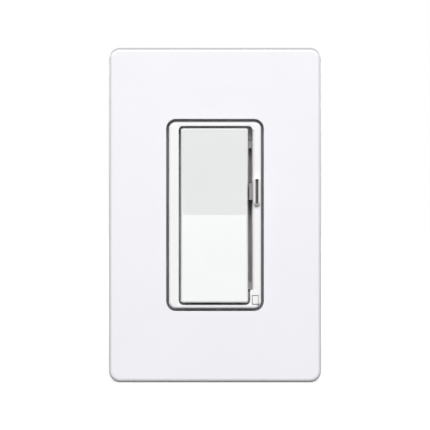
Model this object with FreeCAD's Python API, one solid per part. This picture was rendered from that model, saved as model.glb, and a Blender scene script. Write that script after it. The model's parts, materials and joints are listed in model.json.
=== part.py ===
import FreeCAD, Part
import math
import os

# A paddle dimmer for a one-gang wall box, with its screwless wall plate.
# Millimetres. X runs to the right as the user sees it, Z runs up, and Y runs into the wall.
# The wall surface is the plane Y = 0, and the origin lies midway between the two box screws.

Vector = FreeCAD.Vector

# Wall plate
plate_side_margin = 20.5
plate_end_margin = 6.75
plate_depth = 7.6
plate_wall = 2.0
plate_corner = 4.0
plate_edge_round = 1.6
plate_gap = 1.0

# Snap fit between the cover and its adapter
adapter_thickness = 1.6
adapter_inset = 1.8
adapter_corner = 3.0
adapter_skirt = 1.4
adapter_rib = 1.2
adapter_rib_z = 22.0
collar_wall = 1.2
latch_width = 7.0
latch_side_z = 34.0
latch_end_x = 20.0
latch_hook = 0.8
latch_height = 0.8

# Bezel frame round the controls
rail_left = 3.45
rail_top = 1.55
rail_bottom = 1.25
strip_width = 3.0
bezel_front = 9.0
bezel_corner = 2.4
bezel_edge = 0.45
bezel_floor = 1.1
bezel_side_wall = 1.0

# Snap hooks that hold the bezel frame to the strap
hook_width = 2.4
hook_thickness = 1.0
hook_barb = 0.5
hook_height = 0.75
hook_left_x = -11.0
hook_right_x = 7.4
hook_inset = 2.45

# Paddle, a shallow V with its crease on the pivot line
paddle_width = 23.7
paddle_height = 61.7
paddle_gap = 0.8
paddle_proud = 1.5
paddle_dish = 3.2
paddle_skin = 1.6
paddle_rim = 1.2
paddle_corner = 0.8
paddle_edge = 0.45
paddle_rib = 0.9
leg_width = 3.0
leg_radius = 1.5

# Paddle pivot
axle_radius = 1.0
axle_depth = 3.4
lug_radius = 1.7
lug_thickness = 1.6
lug_gap = 0.15
pivot_inset = 0.65

# Press switches under the two ends of the paddle
switch_z = 18.0
switch_size = 6.0
switch_face = 2.5
switch_wall = 0.5
plunger_radius = 1.3
plunger_flange = 1.9
plunger_flange_height = 0.5
plunger_travel = 0.8
plunger_proud = 1.45

# Slider
slot_width = 1.65
slot_end_margin = 4.35
slot_end_room = 1.0
slider_rest_z = 8.3
strip_thickness = 1.4
strip_chamfer = 0.7
knob_length = 9.8
knob_width = 2.7
knob_height = 1.6
knob_edge = 0.4
knob_lift = 0.15
knob_groove_width = 0.85
knob_groove_depth = 1.1
knob_groove_length = 8.6
arm_thickness = 0.95
arm_length = 6.0
arm_side_gap = 0.25
neck_thickness = 0.85

# Slide potentiometer behind the slot
pot_width = 5.0
pot_depth = 4.6
pot_wall = 0.5
pot_end_room = 0.4
track_thickness = 0.85
track_end_inset = 1.0
carriage_length = 6.6
carriage_height = 2.05
blade_length = 2.0
blade_height = 2.0
wiper_strip = 0.15
wiper_width = 0.7
wiper_spacing = 1.8

# Air-gap service switch below the slider
tab_inset_x = 2.05
tab_inset_z = 2.95
tab_width = 2.0
tab_height = 3.0
tab_proud = 0.5
tab_travel = 3.0
tab_clearance = 0.15
bridge_width = 7.0
bridge_thickness = 0.6
bridge_room = 2.4
contact_radius = 0.9

# Mounting strap, which is also the heat sink
yoke_thickness = 1.3
yoke_flange = 1.0
ear_width = 24.0
ear_end_margin = 4.38
yoke_corner = 2.0
ear_corner = 3.0
ear_fillet = 2.5
box_screw_spacing = 83.3
plate_screw_offset = 6.77
screw_radius = 1.75
box_slot_length = 6.2
box_slot_width = 3.8
box_screw_length = 18.0
box_screw_head = 3.3
box_screw_head_height = 2.0
box_screw_neck = 1.4
screw_slot_width = 0.9
plate_screw_length = 6.0
plate_screw_head = 3.1
countersink_depth = 1.4
ground_tab_width = 9.0
ground_tab_depth = 9.0
ground_inset = 5.5
ground_head_radius = 3.5
ground_head_height = 2.0

# Rear housing
housing_side_margin = 5.7
housing_end_margin = 0.95
housing_depth = 30.5
housing_wall = 1.8
housing_corner = 3.0
housing_edge = 1.0
boss_half = 2.8
boss_inset = 3.4
housing_screw_radius = 1.2
housing_screw_head = 2.2
housing_screw_head_height = 1.6
corner_step = 1.7
rib_width = 2.4
rib_reach = 1.3

# Terminals on the right side of the housing
terminal_z = 13.0
terminal_front = 4.6
channel_width = 9.6
channel_depth = 2.6
channel_wall = 1.5
terminal_plate = 1.0
terminal_plate_width = 8.8
terminal_plate_length = 6.8
clamp_thickness = 1.2
clamp_gap = 0.2
terminal_screw_radius = 1.65
terminal_head_radius = 3.3
terminal_head_height = 2.0
terminal_leg_width = 3.0
terminal_leg = 0.8
terminal_leg_reach = 2.0

# Circuit boards
board_thickness = 1.6
control_board_front = 1.0
board_edge_gap = 0.2
power_board_front = 14.0
board_boss_gap = 0.4
transistor_side_room = 1.7
transistor_end_room = 2.5
film_thickness = 0.25
film_inset = 0.3

# Power transistors clamped to the strap
transistor_inset = 6.2
transistor_width = 10.2
transistor_body = 9.1
transistor_tab = 6.4
transistor_thickness = 4.4
transistor_tab_thickness = 1.3
transistor_start = 2.5
transistor_pitch = 2.54
transistor_hole = 1.9
lead_thickness = 0.6
lead_reach = 2.0
pad_thickness = 0.3
clamp_bar_width = 5.0
clamp_bar_length = 26.0
clamp_bar_thickness = 1.2
clamp_screw_radius = 1.25
clamp_screw_head = 2.3
clamp_screw_head_height = 1.5

# Parts on the boards
radio_x = 8.0
radio_end_inset = 9.4
radio_width = 12.0
radio_height = 18.0
radio_board = 0.8
shield_height = 2.0
shield_margin = 0.5
shield_room = 4.0
shield_corner = 0.6
chip_x = 8.0
chip_end_inset = 20.4
chip_size = 7.0
chip_thickness = 1.4
chip_lead_count = 5
chip_lead_reach = 1.0
chip_lead_thickness = 0.4
led_inset_x = 1.6
led_inset_z = 3.25
led_width = 2.0
led_height = 1.2
led_thickness = 0.6
pipe_radius = 0.9
pipe_cover = 0.8
antenna_x = -6.0
antenna_top = 26.0
antenna_length = 21.0
antenna_width = 1.0
antenna_thickness = 0.25
header_x = -3.0
header_pins = 5
header_spacing = 2.54
header_width = 2.5
header_base = 2.5
header_gap = 0.5
header_pin_half = 0.32
header_pin_length = 5.0
choke_x = -8.0
choke_z = 13.0
choke_width = 14.0
choke_height = 13.0
choke_room = 2.6
choke_leg = 2.5
choke_middle_leg = 4.0
choke_wire = 2.2
choke_winding_corner = 1.2
film_capacitor_x = 8.5
film_capacitor_z = 14.0
film_capacitor_width = 8.0
film_capacitor_height = 18.0
film_capacitor_room = 1.1
film_capacitor_corner = 0.6
storage_x = -11.0
storage_z = -13.0
storage_radius = 5.0
storage_room = 1.1
varistor_x = 1.5
varistor_z = -12.0
varistor_room = 1.6
varistor_thickness = 3.4
varistor_stand = 1.5
varistor_leg_spacing = 5.0
varistor_leg = 0.4
fuse_x = 10.5
fuse_z = -12.0
fuse_radius = 1.6
fuse_length = 11.0
fuse_lead = 0.35
fuse_lead_run = 2.0

# Flat sides that stand for a small round, and the radius from which it has twice as many
small_sides = 12
small_limit = 2.0

# Clearances
seat = 0.1
slip = 0.05
running = 0.06
loose = 0.3

# Sizes that follow from the ones above
slot_length = paddle_height - 2 * slot_end_margin
slider_travel = slot_length - arm_length - 2 * slot_end_room
bezel_width = rail_left + paddle_gap + paddle_width + slot_width + strip_width
bezel_height = rail_top + rail_bottom + 2 * paddle_gap + paddle_height
opening_width = bezel_width + 2 * plate_gap
opening_height = bezel_height + 2 * plate_gap
housing_width = bezel_width + 2 * housing_side_margin
housing_height = bezel_height + 2 * housing_end_margin
yoke_width = housing_width + 2 * yoke_flange
yoke_body_height = housing_height + 2 * yoke_flange
plate_screw_spacing = box_screw_spacing + 2 * plate_screw_offset
yoke_height = plate_screw_spacing + 2 * ear_end_margin
plate_width = opening_width + 2 * plate_side_margin
plate_height = yoke_height + 2 * plate_end_margin

# Places worked out from those sizes
yoke_front = -yoke_thickness
adapter_front = yoke_front - adapter_thickness
cover_inside = plate_wall - plate_depth
cover_width_inside = plate_width - 2 * plate_wall
cover_height_inside = plate_height - 2 * plate_wall
adapter_width = cover_width_inside - 2 * adapter_inset
adapter_height = cover_height_inside - 2 * adapter_inset
bezel_face = -bezel_front
floor_front = yoke_front - bezel_floor
paddle_x = -bezel_width / 2 + rail_left + paddle_gap + paddle_width / 2
paddle_z = -bezel_height / 2 + rail_bottom + paddle_gap + paddle_height / 2
paddle_left = paddle_x - paddle_width / 2
paddle_right = paddle_x + paddle_width / 2
paddle_bottom = paddle_z - paddle_height / 2
paddle_top = paddle_z + paddle_height / 2
paddle_end_face = bezel_face - paddle_proud
paddle_crease = paddle_end_face + paddle_dish
paddle_back = paddle_crease + paddle_skin
paddle_slope = paddle_dish / (paddle_height / 2)
axle_y = -axle_depth
slot_right = paddle_right + slot_width
strip_right = bezel_width / 2
arm_right = slot_right - arm_side_gap
arm_left = arm_right - arm_thickness
pot_x = (arm_left + arm_right) / 2
pot_back = control_board_front
pot_front = pot_back - pot_depth
pot_inside_half = slider_travel / 2 + carriage_length / 2 + pot_end_room
pot_half_length = pot_inside_half + pot_wall
pot_left = pot_x - pot_width / 2
pivot_left = paddle_left + pivot_inset
pivot_right = pot_left - 2 * loose
track_front = pot_back - seat - track_thickness
carriage_front = pot_front + pot_wall + 1.5 * seat
carriage_back = carriage_front + carriage_height
control_board_back = control_board_front + board_thickness
power_board_back = power_board_front + board_thickness
housing_inside_x = housing_width / 2 - housing_wall
housing_inside_z = housing_height / 2 - housing_wall
housing_floor = housing_depth - housing_wall
boss_x = housing_width / 2 - boss_inset
boss_z = housing_height / 2 - boss_inset
tab_x = strip_right - tab_inset_x
tab_z = -bezel_height / 2 + tab_inset_z
led_x = strip_right - led_inset_x
led_z = bezel_height / 2 - led_inset_z
bridge_depth = control_board_back + tab_travel + bridge_room
power_board_height = 2 * (boss_z - boss_half - board_boss_gap)
transistor_x = -(housing_inside_x - transistor_inset)
transistor_reach = transistor_start + transistor_tab + transistor_body
transistor_bay_height = 2 * (transistor_reach + lead_reach + transistor_end_room)
transistor_bay_edge = transistor_x + transistor_width / 2 + transistor_side_room
channel_floor = housing_width / 2 - channel_depth
power_board_right = channel_floor - channel_wall - board_edge_gap
power_board_left = -(housing_inside_x - rib_reach - board_edge_gap)
hook_z = bezel_height / 2 - hook_inset
plunger_front = -switch_face - plunger_proud
switch_back = control_board_front
pipe_end = bezel_face + pipe_cover + seat
led_front = control_board_front - led_thickness
ground_x = -yoke_width / 2 + ground_inset
ground_tab_top = -housing_height / 2 - loose
control_board_half_x = housing_inside_x - board_edge_gap
control_board_half_z = housing_inside_z - board_edge_gap
radio_z = radio_end_inset + radio_height / 2 - control_board_half_z
chip_z = control_board_half_z - chip_end_inset
socket_height = power_board_front - control_board_back - header_base - header_gap
parts_room = housing_floor - power_board_back
choke_front = power_board_back + seat
choke_depth = parts_room - seat - choke_room
choke_core_depth = choke_depth - 2 * choke_wire
varistor_radius = (parts_room - varistor_stand - varistor_room) / 2


def block(x0, x1, y0, y1, z0, z1):
    """A plain box between two corners."""
    return Part.makeBox(x1 - x0, y1 - y0, z1 - z0, Vector(x0, y0, z0))


def runs_along(edge, axis):
    """True for a straight edge that is parallel to the axis."""
    if not isinstance(edge.Curve, Part.Line):
        return False
    return abs(abs(edge.Curve.Direction.dot(axis)) - 1) < 1e-6


def pad(width, height, front, back, radius=0.0, x=0.0, z=0.0):
    """A rounded rectangle seen from the front, from one depth to another."""
    body = block(x - width / 2, x + width / 2, front, back, z - height / 2, z + height / 2)
    if radius > 0:
        corners = [edge for edge in body.Edges if runs_along(edge, Vector(0, 1, 0))]
        body = body.makeFillet(radius, corners)
    return body


def pin(radius, front, back, x=0.0, z=0.0):
    """A round pin or hole along Y."""
    return Part.makeCylinder(radius, back - front, Vector(x, front, z), Vector(0, 1, 0))


def cross_pin(radius, x0, x1, y, z):
    """A round pin or hole along X."""
    return Part.makeCylinder(radius, x1 - x0, Vector(x0, y, z), Vector(1, 0, 0))


def prism(points, run):
    """A polygon of points, swept along a straight run."""
    wire = Part.makePolygon(points + [points[0]])
    return Part.Face(wire).extrude(run)


def flat_corners(radius, centre, run):
    """The corners of the flat-sided outline that stands for a small round."""
    sides = small_sides if radius < small_limit else 2 * small_sides
    across = Vector(run.z, run.x, run.y).normalize() * radius
    corners = []
    for index in range(sides):
        turn = FreeCAD.Rotation(run, 360 * (index + 0.5) / sides)
        corners.append(centre + turn.multVec(across))
    return corners


def flat_sided(radius, start, run):
    """A small round along one axis, as a prism whose corners lie on the radius."""
    return prism(flat_corners(radius, start, run), run)


def small_pin(radius, front, back, x=0.0, z=0.0):
    """A small pin or hole along Y."""
    return flat_sided(radius, Vector(x, front, z), Vector(0, back - front, 0))


def small_cone(front_radius, back_radius, front, back, z):
    """A countersink or screw head along Y that narrows towards the back, on the X centre."""
    wide = flat_corners(front_radius, Vector(0, front, z), Vector(0, 1, 0))
    narrow = []
    for corner in wide:
        out = (corner - Vector(0, front, z)) * (back_radius / front_radius)
        narrow.append(Vector(0, back, z) + out)
    faces = [Part.Face(Part.makePolygon(ring + ring[:1])) for ring in (wide, narrow)]
    for index in range(len(wide)):
        corners = [wide[index - 1], wide[index], narrow[index], narrow[index - 1]]
        faces.append(Part.Face(Part.makePolygon(corners + corners[:1])))
    return Part.Solid(Part.Shell(faces))


def small_cross_pin(radius, x0, x1, y, z):
    """A small pin or hole along X."""
    return flat_sided(radius, Vector(x0, y, z), Vector(x1 - x0, 0, 0))


def profile_xy(points, z0, z1):
    """A polygon of (x, y) pairs between two heights."""
    return prism([Vector(x, y, z0) for x, y in points], Vector(0, 0, z1 - z0))


def profile_yz(points, x0, x1):
    """A polygon of (y, z) pairs from one side to the other."""
    return prism([Vector(x0, y, z) for y, z in points], Vector(x1 - x0, 0, 0))


def edges_at_depth(body, depth):
    """The edges that lie wholly in the plane Y = depth."""
    flat = []
    for edge in body.Edges:
        box = edge.BoundBox
        if abs(box.YMin - depth) < 1e-6 and abs(box.YMax - depth) < 1e-6:
            flat.append(edge)
    return flat


def round_face(body, depth, radius):
    """Rounds the edges of the face at one depth."""
    return body.makeFillet(radius, edges_at_depth(body, depth))


def chamfer_face(body, depth, size):
    """Chamfers the edges of the face at one depth."""
    return body.makeChamfer(size, edges_at_depth(body, depth))


def join(pieces):
    """One solid from pieces that touch or overlap."""
    return pieces[0].fuse(pieces[1:]).removeSplitter()


def screw_slot(head_radius, front, depth, x, z):
    """The straight driver slot in a screw head."""
    half = screw_slot_width / 2
    return block(x - head_radius, x + head_radius, front - 1, front + depth, z - half, z + half)


def paddle_face_at(z):
    """Depth of the paddle's front face at a height."""
    return paddle_crease - paddle_slope * abs(z)


# Wall plate

def catch(side, along_z, at):
    """A ramped catch inside the cover's side or end wall, behind an adapter tab."""
    wall = (cover_width_inside if along_z else cover_height_inside) / 2 + seat
    tip = cover_width_inside / 2 - latch_hook if along_z else cover_height_inside / 2 - latch_hook
    front = yoke_front - 3 * seat
    back = front + latch_height
    outline = [(wall, front), (tip, front), (tip, front + latch_height / 2), (wall, back + latch_height / 2)]
    half = latch_width / 2
    if along_z:
        return profile_xy([(side * a, y) for a, y in outline], at - half, at + half)
    return profile_yz([(y, side * a) for a, y in outline], at - half, at + half)


def latch_places():
    """Side, direction and place of each snap latch."""
    places = []
    for side in (-1, 1):
        for at in (-latch_side_z, 0, latch_side_z):
            places.append((side, True, at))
        for at in (-latch_end_x, latch_end_x):
            places.append((side, False, at))
    return places


def wallplate_cover():
    shell = pad(plate_width, plate_height, -plate_depth, 0, plate_corner)
    shell = round_face(shell, -plate_depth, plate_edge_round)
    inside_corner = plate_corner - plate_wall
    shell = shell.cut(pad(cover_width_inside, cover_height_inside, cover_inside, 1, inside_corner))
    opening = pad(opening_width, opening_height, -plate_depth - 1, 1, bezel_corner + plate_gap)
    shell = shell.cut(opening)
    return join([shell] + [catch(*place) for place in latch_places()])


def latch_tab(side, along_z, at):
    """A tongue on the adapter's edge that the cover's catch snaps behind."""
    half = latch_width / 2
    back = yoke_front - 4 * seat
    if along_z:
        edge = adapter_width / 2
        near, far = sorted((side * (edge - adapter_skirt), side * (edge + adapter_inset - loose)))
        return block(near, far, adapter_front, back, at - half, at + half)
    edge = adapter_height / 2
    near, far = sorted((side * (edge - adapter_skirt), side * (edge + adapter_inset - loose)))
    return block(at - half, at + half, adapter_front, back, near, far)


def adapter_ribs():
    """Stiffening ribs behind the adapter, from the strap's sides out to the skirt."""
    ribs = []
    for side in (-1, 1):
        edges = (side * (yoke_width / 2 + loose), side * (adapter_width / 2 - adapter_skirt / 2))
        near, far = sorted(edges)
        for step in (-2, -1, 1, 2):
            z = step * adapter_rib_z
            ribs.append(block(near, far, yoke_front, -loose, z - adapter_rib / 2, z + adapter_rib / 2))
    return ribs


def wallplate_adapter():
    plate = pad(adapter_width, adapter_height, adapter_front, yoke_front, adapter_corner)
    skirt = pad(adapter_width, adapter_height, yoke_front, -loose, adapter_corner)
    skirt_inside = pad(
        adapter_width - 2 * adapter_skirt,
        adapter_height - 2 * adapter_skirt,
        yoke_front,
        0,
        adapter_corner - adapter_skirt,
    )
    skirt = skirt.cut(skirt_inside)
    inner_width = opening_width + 4 * seat
    inner_height = opening_height + 4 * seat
    inner_corner = bezel_corner + plate_gap + 2 * seat
    collar = pad(
        inner_width + 2 * collar_wall,
        inner_height + 2 * collar_wall,
        cover_inside + seat,
        adapter_front,
        inner_corner + collar_wall,
    )
    tabs = [latch_tab(*place) for place in latch_places()]
    body = join([plate, skirt, collar] + tabs + adapter_ribs())
    body = body.cut(pad(inner_width, inner_height, cover_inside - 1, 1, inner_corner))
    for side in (-1, 1):
        box_z = side * box_screw_spacing / 2
        plate_z = side * plate_screw_spacing / 2
        body = body.cut(small_pin(box_screw_head + loose, cover_inside - 1, 1, z=box_z))
        body = body.cut(small_pin(screw_radius + 2 * seat, adapter_front - 1, 1, z=plate_z))
        sink_back = adapter_front + countersink_depth
        wide = plate_screw_head + seat
        body = body.cut(small_cone(wide, screw_radius + seat, adapter_front, sink_back, plate_z))
    return body


def adapter_screw(z):
    """A countersunk machine screw through the adapter into the strap."""
    front = adapter_front + seat / 2
    head = small_cone(plate_screw_head, screw_radius, front, front + countersink_depth, z)
    shank = small_pin(screw_radius, front + countersink_depth / 2, front + plate_screw_length, z=z)
    body = join([head, shank])
    return body.cut(screw_slot(plate_screw_head, front, countersink_depth / 2, 0, z))


def box_screw(z):
    """A screw that holds the strap to the box, with a plain neck where the strap's slot retains it."""
    front = yoke_front - box_screw_head_height
    head = small_pin(box_screw_head, front, yoke_front, z=z)
    neck = small_pin(box_screw_neck, yoke_front - seat, seat, z=z)
    shank = pin(screw_radius, 0, box_screw_length, z=z)
    body = join([head, neck, shank])
    return body.cut(screw_slot(box_screw_head, front, box_screw_head_height / 2, 0, z))


# Strap

def strap_windows():
    """The openings that the mechanism needs through the strap: x, z, width, height."""
    return [
        (0, switch_z, switch_size + 2 * loose, switch_size + 2 * loose),
        (0, -switch_z, switch_size + 2 * loose, switch_size + 2 * loose),
        (pot_x, 0, pot_width + 2 * loose, 2 * (pot_half_length + loose)),
        (tab_x, tab_z, tab_width + 2 * loose, tab_height + 2 * loose),
        (led_x, led_z, led_width + 2 * loose, led_width + 2 * loose),
        (antenna_x, antenna_top - antenna_width / 2, antenna_width + 2 * loose, antenna_width + 2 * loose),
    ]


def hook_places():
    """Where the bezel frame's four snap hooks pass the strap, with the side that each faces."""
    return [(x, side) for x in (hook_left_x, hook_right_x) for side in (-1, 1)]


def hook_window(x, side, room):
    """The hole that a snap hook passes, wide enough for its barb to bend through."""
    outer = side * (hook_z + hook_thickness / 2 + room)
    inner = side * (hook_z - hook_thickness / 2 - hook_barb - room)
    low, high = sorted((inner, outer))
    half = hook_width / 2 + room
    return block(x - half, x + half, yoke_front - 1, 1, low, high)


def boss_places():
    """The housing's corner bosses, which its screws pass."""
    return [(sx * boss_x, sz * boss_z) for sx in (-1, 1) for sz in (-1, 1)]


def yoke():
    middle = pad(yoke_width, yoke_body_height, yoke_front, 0, yoke_corner)
    ears = pad(ear_width, yoke_height, yoke_front, 0, ear_corner)
    body = join([middle, ears])
    notches = []
    for edge in body.Edges:
        centre = edge.CenterOfMass
        at_ear = abs(abs(centre.x) - ear_width / 2) < 1e-6
        at_body = abs(abs(centre.z) - yoke_body_height / 2) < 1e-6
        if at_ear and at_body and runs_along(edge, Vector(0, 1, 0)):
            notches.append(edge)
    body = body.makeFillet(ear_fillet, notches)
    tab = block(
        ground_x - ground_tab_width / 2,
        ground_x + ground_tab_width / 2,
        yoke_front,
        ground_tab_depth,
        ground_tab_top - yoke_thickness,
        ground_tab_top,
    )
    hole_start = Vector(ground_x, ground_tab_depth / 2, ground_tab_top - 3 * yoke_thickness)
    tab_hole = flat_sided(screw_radius + slip, hole_start, Vector(0, 0, 4 * yoke_thickness))
    body = join([body, tab]).cut(tab_hole)
    for x, z, width, height in strap_windows():
        body = body.cut(pad(width, height, yoke_front - 1, 1, x=x, z=z))
    for side in (-1, 1):
        slot_z = side * box_screw_spacing / 2
        slot = pad(box_slot_length, box_slot_width, yoke_front - 1, 1, box_slot_width / 2 - slip, z=slot_z)
        body = body.cut(slot)
        body = body.cut(small_pin(screw_radius + slip, yoke_front - 1, 1, z=side * plate_screw_spacing / 2))
    for x, z in boss_places():
        body = body.cut(small_pin(housing_screw_radius + slip, yoke_front - 1, 1, x, z))
    for x, side in hook_places():
        body = body.cut(hook_window(x, side, slip))
    return body.cut(small_pin(clamp_screw_radius + slip, yoke_front - 1, 1, transistor_x, 0))


def ground_screw():
    """Green bonding screw in the strap's bent tab, driven from below."""
    y = ground_tab_depth / 2
    bottom = ground_tab_top - yoke_thickness - ground_head_height
    start = Vector(ground_x, y, bottom)
    head = flat_sided(ground_head_radius, start, Vector(0, 0, ground_head_height))
    shank = flat_sided(screw_radius, start, Vector(0, 0, ground_head_height + yoke_thickness))
    half = screw_slot_width / 2
    left = ground_x - ground_head_radius
    right = ground_x + ground_head_radius
    slot = block(left, right, y - half, y + half, bottom - 1, bottom + ground_head_height / 2)
    return join([head, shank]).cut(slot)


# Bezel frame and paddle

def frame_lugs():
    """X ranges of the pivot lugs that stand on the bezel frame's floor."""
    return [(pivot_left, pivot_left + lug_thickness), (pivot_right - lug_thickness, pivot_right)]


def paddle_lugs():
    """X ranges of the paddle's own lugs, just inside the frame's."""
    left = pivot_left + lug_thickness + lug_gap
    right = pivot_right - lug_thickness - lug_gap
    return [(left, left + lug_thickness), (right - lug_thickness, right)]


def snap_hook(x, side):
    """A barbed tongue behind the bezel frame's floor that catches behind the strap."""
    inner = hook_z - hook_thickness / 2
    outer = hook_z + hook_thickness / 2
    tip = slip + hook_height
    outline = [
        (floor_front, inner),
        (tip, inner),
        (tip, outer),
        (slip + hook_height / 3, outer + hook_barb),
        (slip, outer + hook_barb),
        (slip, outer),
        (floor_front, outer),
    ]
    return profile_yz([(y, side * z) for y, z in outline], x - hook_width / 2, x + hook_width / 2)


def bezel_frame():
    body = pad(bezel_width, bezel_height, bezel_face, yoke_front, bezel_corner)
    body = chamfer_face(body, bezel_face, bezel_edge)
    well_corner = paddle_corner + paddle_gap
    well_left = paddle_left - paddle_gap
    well_top = paddle_top + paddle_gap
    well = pad(
        paddle_width + 2 * paddle_gap,
        paddle_height + 2 * paddle_gap,
        bezel_face - 1,
        floor_front,
        well_corner,
        paddle_x,
        paddle_z,
    )
    body = body.cut(well)
    upper_well = pad(
        slot_right - well_left,
        well_top,
        bezel_face - 1,
        floor_front,
        well_corner,
        (well_left + slot_right) / 2,
        well_top / 2,
    )
    body = body.cut(upper_well)
    slot = block(paddle_right, slot_right, bezel_face - 1, floor_front, -slot_length / 2, slot_length / 2)
    body = body.cut(slot)
    room = block(
        paddle_right,
        strip_right - bezel_side_wall,
        bezel_face + strip_thickness,
        floor_front,
        -pot_half_length - loose,
        pot_half_length + loose,
    )
    body = body.cut(room)
    edge = [
        (slot_right - 1, bezel_face - 1),
        (slot_right + strip_chamfer + 1, bezel_face - 1),
        (slot_right - 1, bezel_face + strip_chamfer + 1),
    ]
    body = body.cut(profile_xy(edge, -slot_length / 2, well_top - well_corner))
    for side in (-1, 1):
        hole = switch_size + 2 * loose
        body = body.cut(pad(hole, hole, floor_front - 1, 0, z=side * switch_z))
    pot_hole = block(
        pot_left - loose,
        strip_right - bezel_side_wall,
        pot_front - loose,
        0,
        -pot_half_length - loose,
        pot_half_length + loose,
    )
    body = body.cut(pot_hole)
    tab_hole_width = tab_width + 2 * tab_clearance
    tab_hole_height = tab_height + 2 * tab_clearance
    body = body.cut(pad(tab_hole_width, tab_hole_height, bezel_face - 1, 0, x=tab_x, z=tab_z))
    body = body.cut(small_pin(pipe_radius + seat, pipe_end - seat, 0, led_x, led_z))
    leg_hole = antenna_width + 2 * loose
    leg_z = antenna_top - antenna_width / 2
    body = body.cut(pad(leg_hole, leg_hole, floor_front - 1, 0, x=antenna_x, z=leg_z))
    lug_hole = 2 * (lug_radius + 2 * loose)
    for x0, x1 in paddle_lugs():
        middle = (x0 + x1) / 2
        width = lug_thickness + 2 * lug_gap
        body = body.cut(pad(width, lug_hole, floor_front - 1, 0, x=middle))
    lugs = []
    for x0, x1 in frame_lugs():
        base = block(x0, x1, axle_y, yoke_front, -lug_radius, lug_radius)
        lugs.append(base.fuse(cross_pin(lug_radius, x0, x1, axle_y, 0)))
    body = join([body] + lugs + [snap_hook(*place) for place in hook_places()])
    return body.cut(cross_pin(axle_radius + slip / 2, pivot_left - 1, pivot_right + 1, axle_y, 0))


def paddle():
    outline = [
        (paddle_face_at(paddle_bottom), paddle_bottom),
        (paddle_crease, 0),
        (paddle_face_at(paddle_top), paddle_top),
        (paddle_back, paddle_top),
        (paddle_back, paddle_bottom),
    ]
    wedge = profile_yz(outline, paddle_left, paddle_right)
    deepest = min(paddle_face_at(paddle_bottom), paddle_face_at(paddle_top))
    blank = pad(paddle_width, paddle_height, deepest - 1, paddle_back, paddle_corner, paddle_x, paddle_z)
    body = blank.common(wedge).removeSplitter()
    front_edges = []
    for edge in body.Edges:
        centre = edge.CenterOfMass
        on_face = abs(centre.y - paddle_face_at(centre.z)) < 0.02 * paddle_dish
        on_crease = abs(centre.z) < 1e-6 and abs(centre.x - paddle_x) < 1e-3
        if on_face and not on_crease and not runs_along(edge, Vector(0, 1, 0)):
            front_edges.append(edge)
    body = body.makeChamfer(paddle_edge, front_edges)
    hollow = [
        (paddle_face_at(paddle_bottom) + paddle_skin, paddle_bottom + paddle_rim),
        (paddle_back, 0),
        (paddle_face_at(paddle_top) + paddle_skin, paddle_top - paddle_rim),
        (paddle_back + 1, paddle_top - paddle_rim),
        (paddle_back + 1, paddle_bottom + paddle_rim),
    ]
    body = body.cut(profile_yz(hollow, paddle_left + paddle_rim, paddle_right - paddle_rim))
    pieces = [body]
    nose = plunger_front - slip - leg_radius
    for side, end in ((-1, paddle_bottom + paddle_rim / 2), (1, paddle_top - paddle_rim / 2)):
        z = side * switch_z
        root = paddle_face_at(z) + paddle_skin / 2
        pieces.append(block(-leg_width / 2, leg_width / 2, root, nose, z - leg_radius, z + leg_radius))
        pieces.append(cross_pin(leg_radius, -leg_width / 2, leg_width / 2, nose, z))
        rib = [
            (paddle_crease + paddle_skin / 2, 0),
            (paddle_face_at(end) + paddle_skin / 2, end),
            (paddle_back, end),
            (paddle_back, 0),
        ]
        for x in (paddle_left / 2, 0, paddle_right / 2):
            pieces.append(profile_yz(rib, x - paddle_rib / 2, x + paddle_rib / 2))
    for x0, x1 in paddle_lugs():
        stem = block(x0, x1, paddle_crease + paddle_skin / 2, axle_y, -lug_radius, lug_radius)
        pieces.append(stem.fuse(cross_pin(lug_radius, x0, x1, axle_y, 0)))
    body = join(pieces)
    return body.cut(cross_pin(axle_radius + running, pivot_left, pivot_right, axle_y, 0))


def paddle_axle():
    return cross_pin(axle_radius, pivot_left, pivot_right, axle_y, 0)


# Press switches

def switch_body(z):
    """Square case, with a round hole for the stem and a square room for its flange."""
    body = pad(switch_size, switch_size, -switch_face, switch_back, z=z)
    body = body.cut(small_pin(plunger_radius + running, -switch_face - 1, 0, z=z))
    room = 2 * (plunger_flange + running)
    return body.cut(pad(room, room, switch_wall - switch_face, switch_back - switch_wall, z=z))


def switch_plunger(z):
    flange_front = switch_wall - switch_face + plunger_travel + 2 * seat
    flange_back = flange_front + plunger_flange_height
    stem = small_pin(plunger_radius, plunger_front, flange_back, z=z)
    return join([stem, pad(2 * plunger_flange, 2 * plunger_flange, flange_front, flange_back, z=z)])


# Slider

def slider_knob():
    z0 = slider_rest_z - knob_length / 2
    back = bezel_face - knob_lift
    front = back - knob_height
    x = (slot_right + strip_right) / 2
    cap = pad(knob_width, knob_length, front, back, knob_width / 2 - slip, x, slider_rest_z)
    cap = chamfer_face(cap, front, knob_edge)
    corner = slot_right + strip_chamfer
    drop = corner - arm_right
    outline = [
        (arm_left, pot_front - loose),
        (arm_left, back + drop - neck_thickness),
        (corner - arm_thickness / 2, back - neck_thickness),
        (x, back - neck_thickness),
        (x, back),
        (corner, back),
        (arm_right, back + drop),
        (arm_right, pot_front - loose),
    ]
    low = slider_rest_z - arm_length / 2
    arm = profile_xy(outline, low, low + arm_length)
    body = join([cap, arm])
    groove = pad(
        knob_groove_width,
        knob_groove_length,
        front - 1,
        front + knob_groove_depth,
        knob_groove_width / 2 - slip,
        x,
        slider_rest_z,
    )
    body = body.cut(groove)
    fork_width = blade_length + 2 * seat
    fork_front = pot_front - blade_height - 2 * seat
    fork = block(
        arm_left - 1,
        arm_right + 1,
        fork_front,
        0,
        slider_rest_z - fork_width / 2,
        slider_rest_z + fork_width / 2,
    )
    return body.cut(fork)


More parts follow.
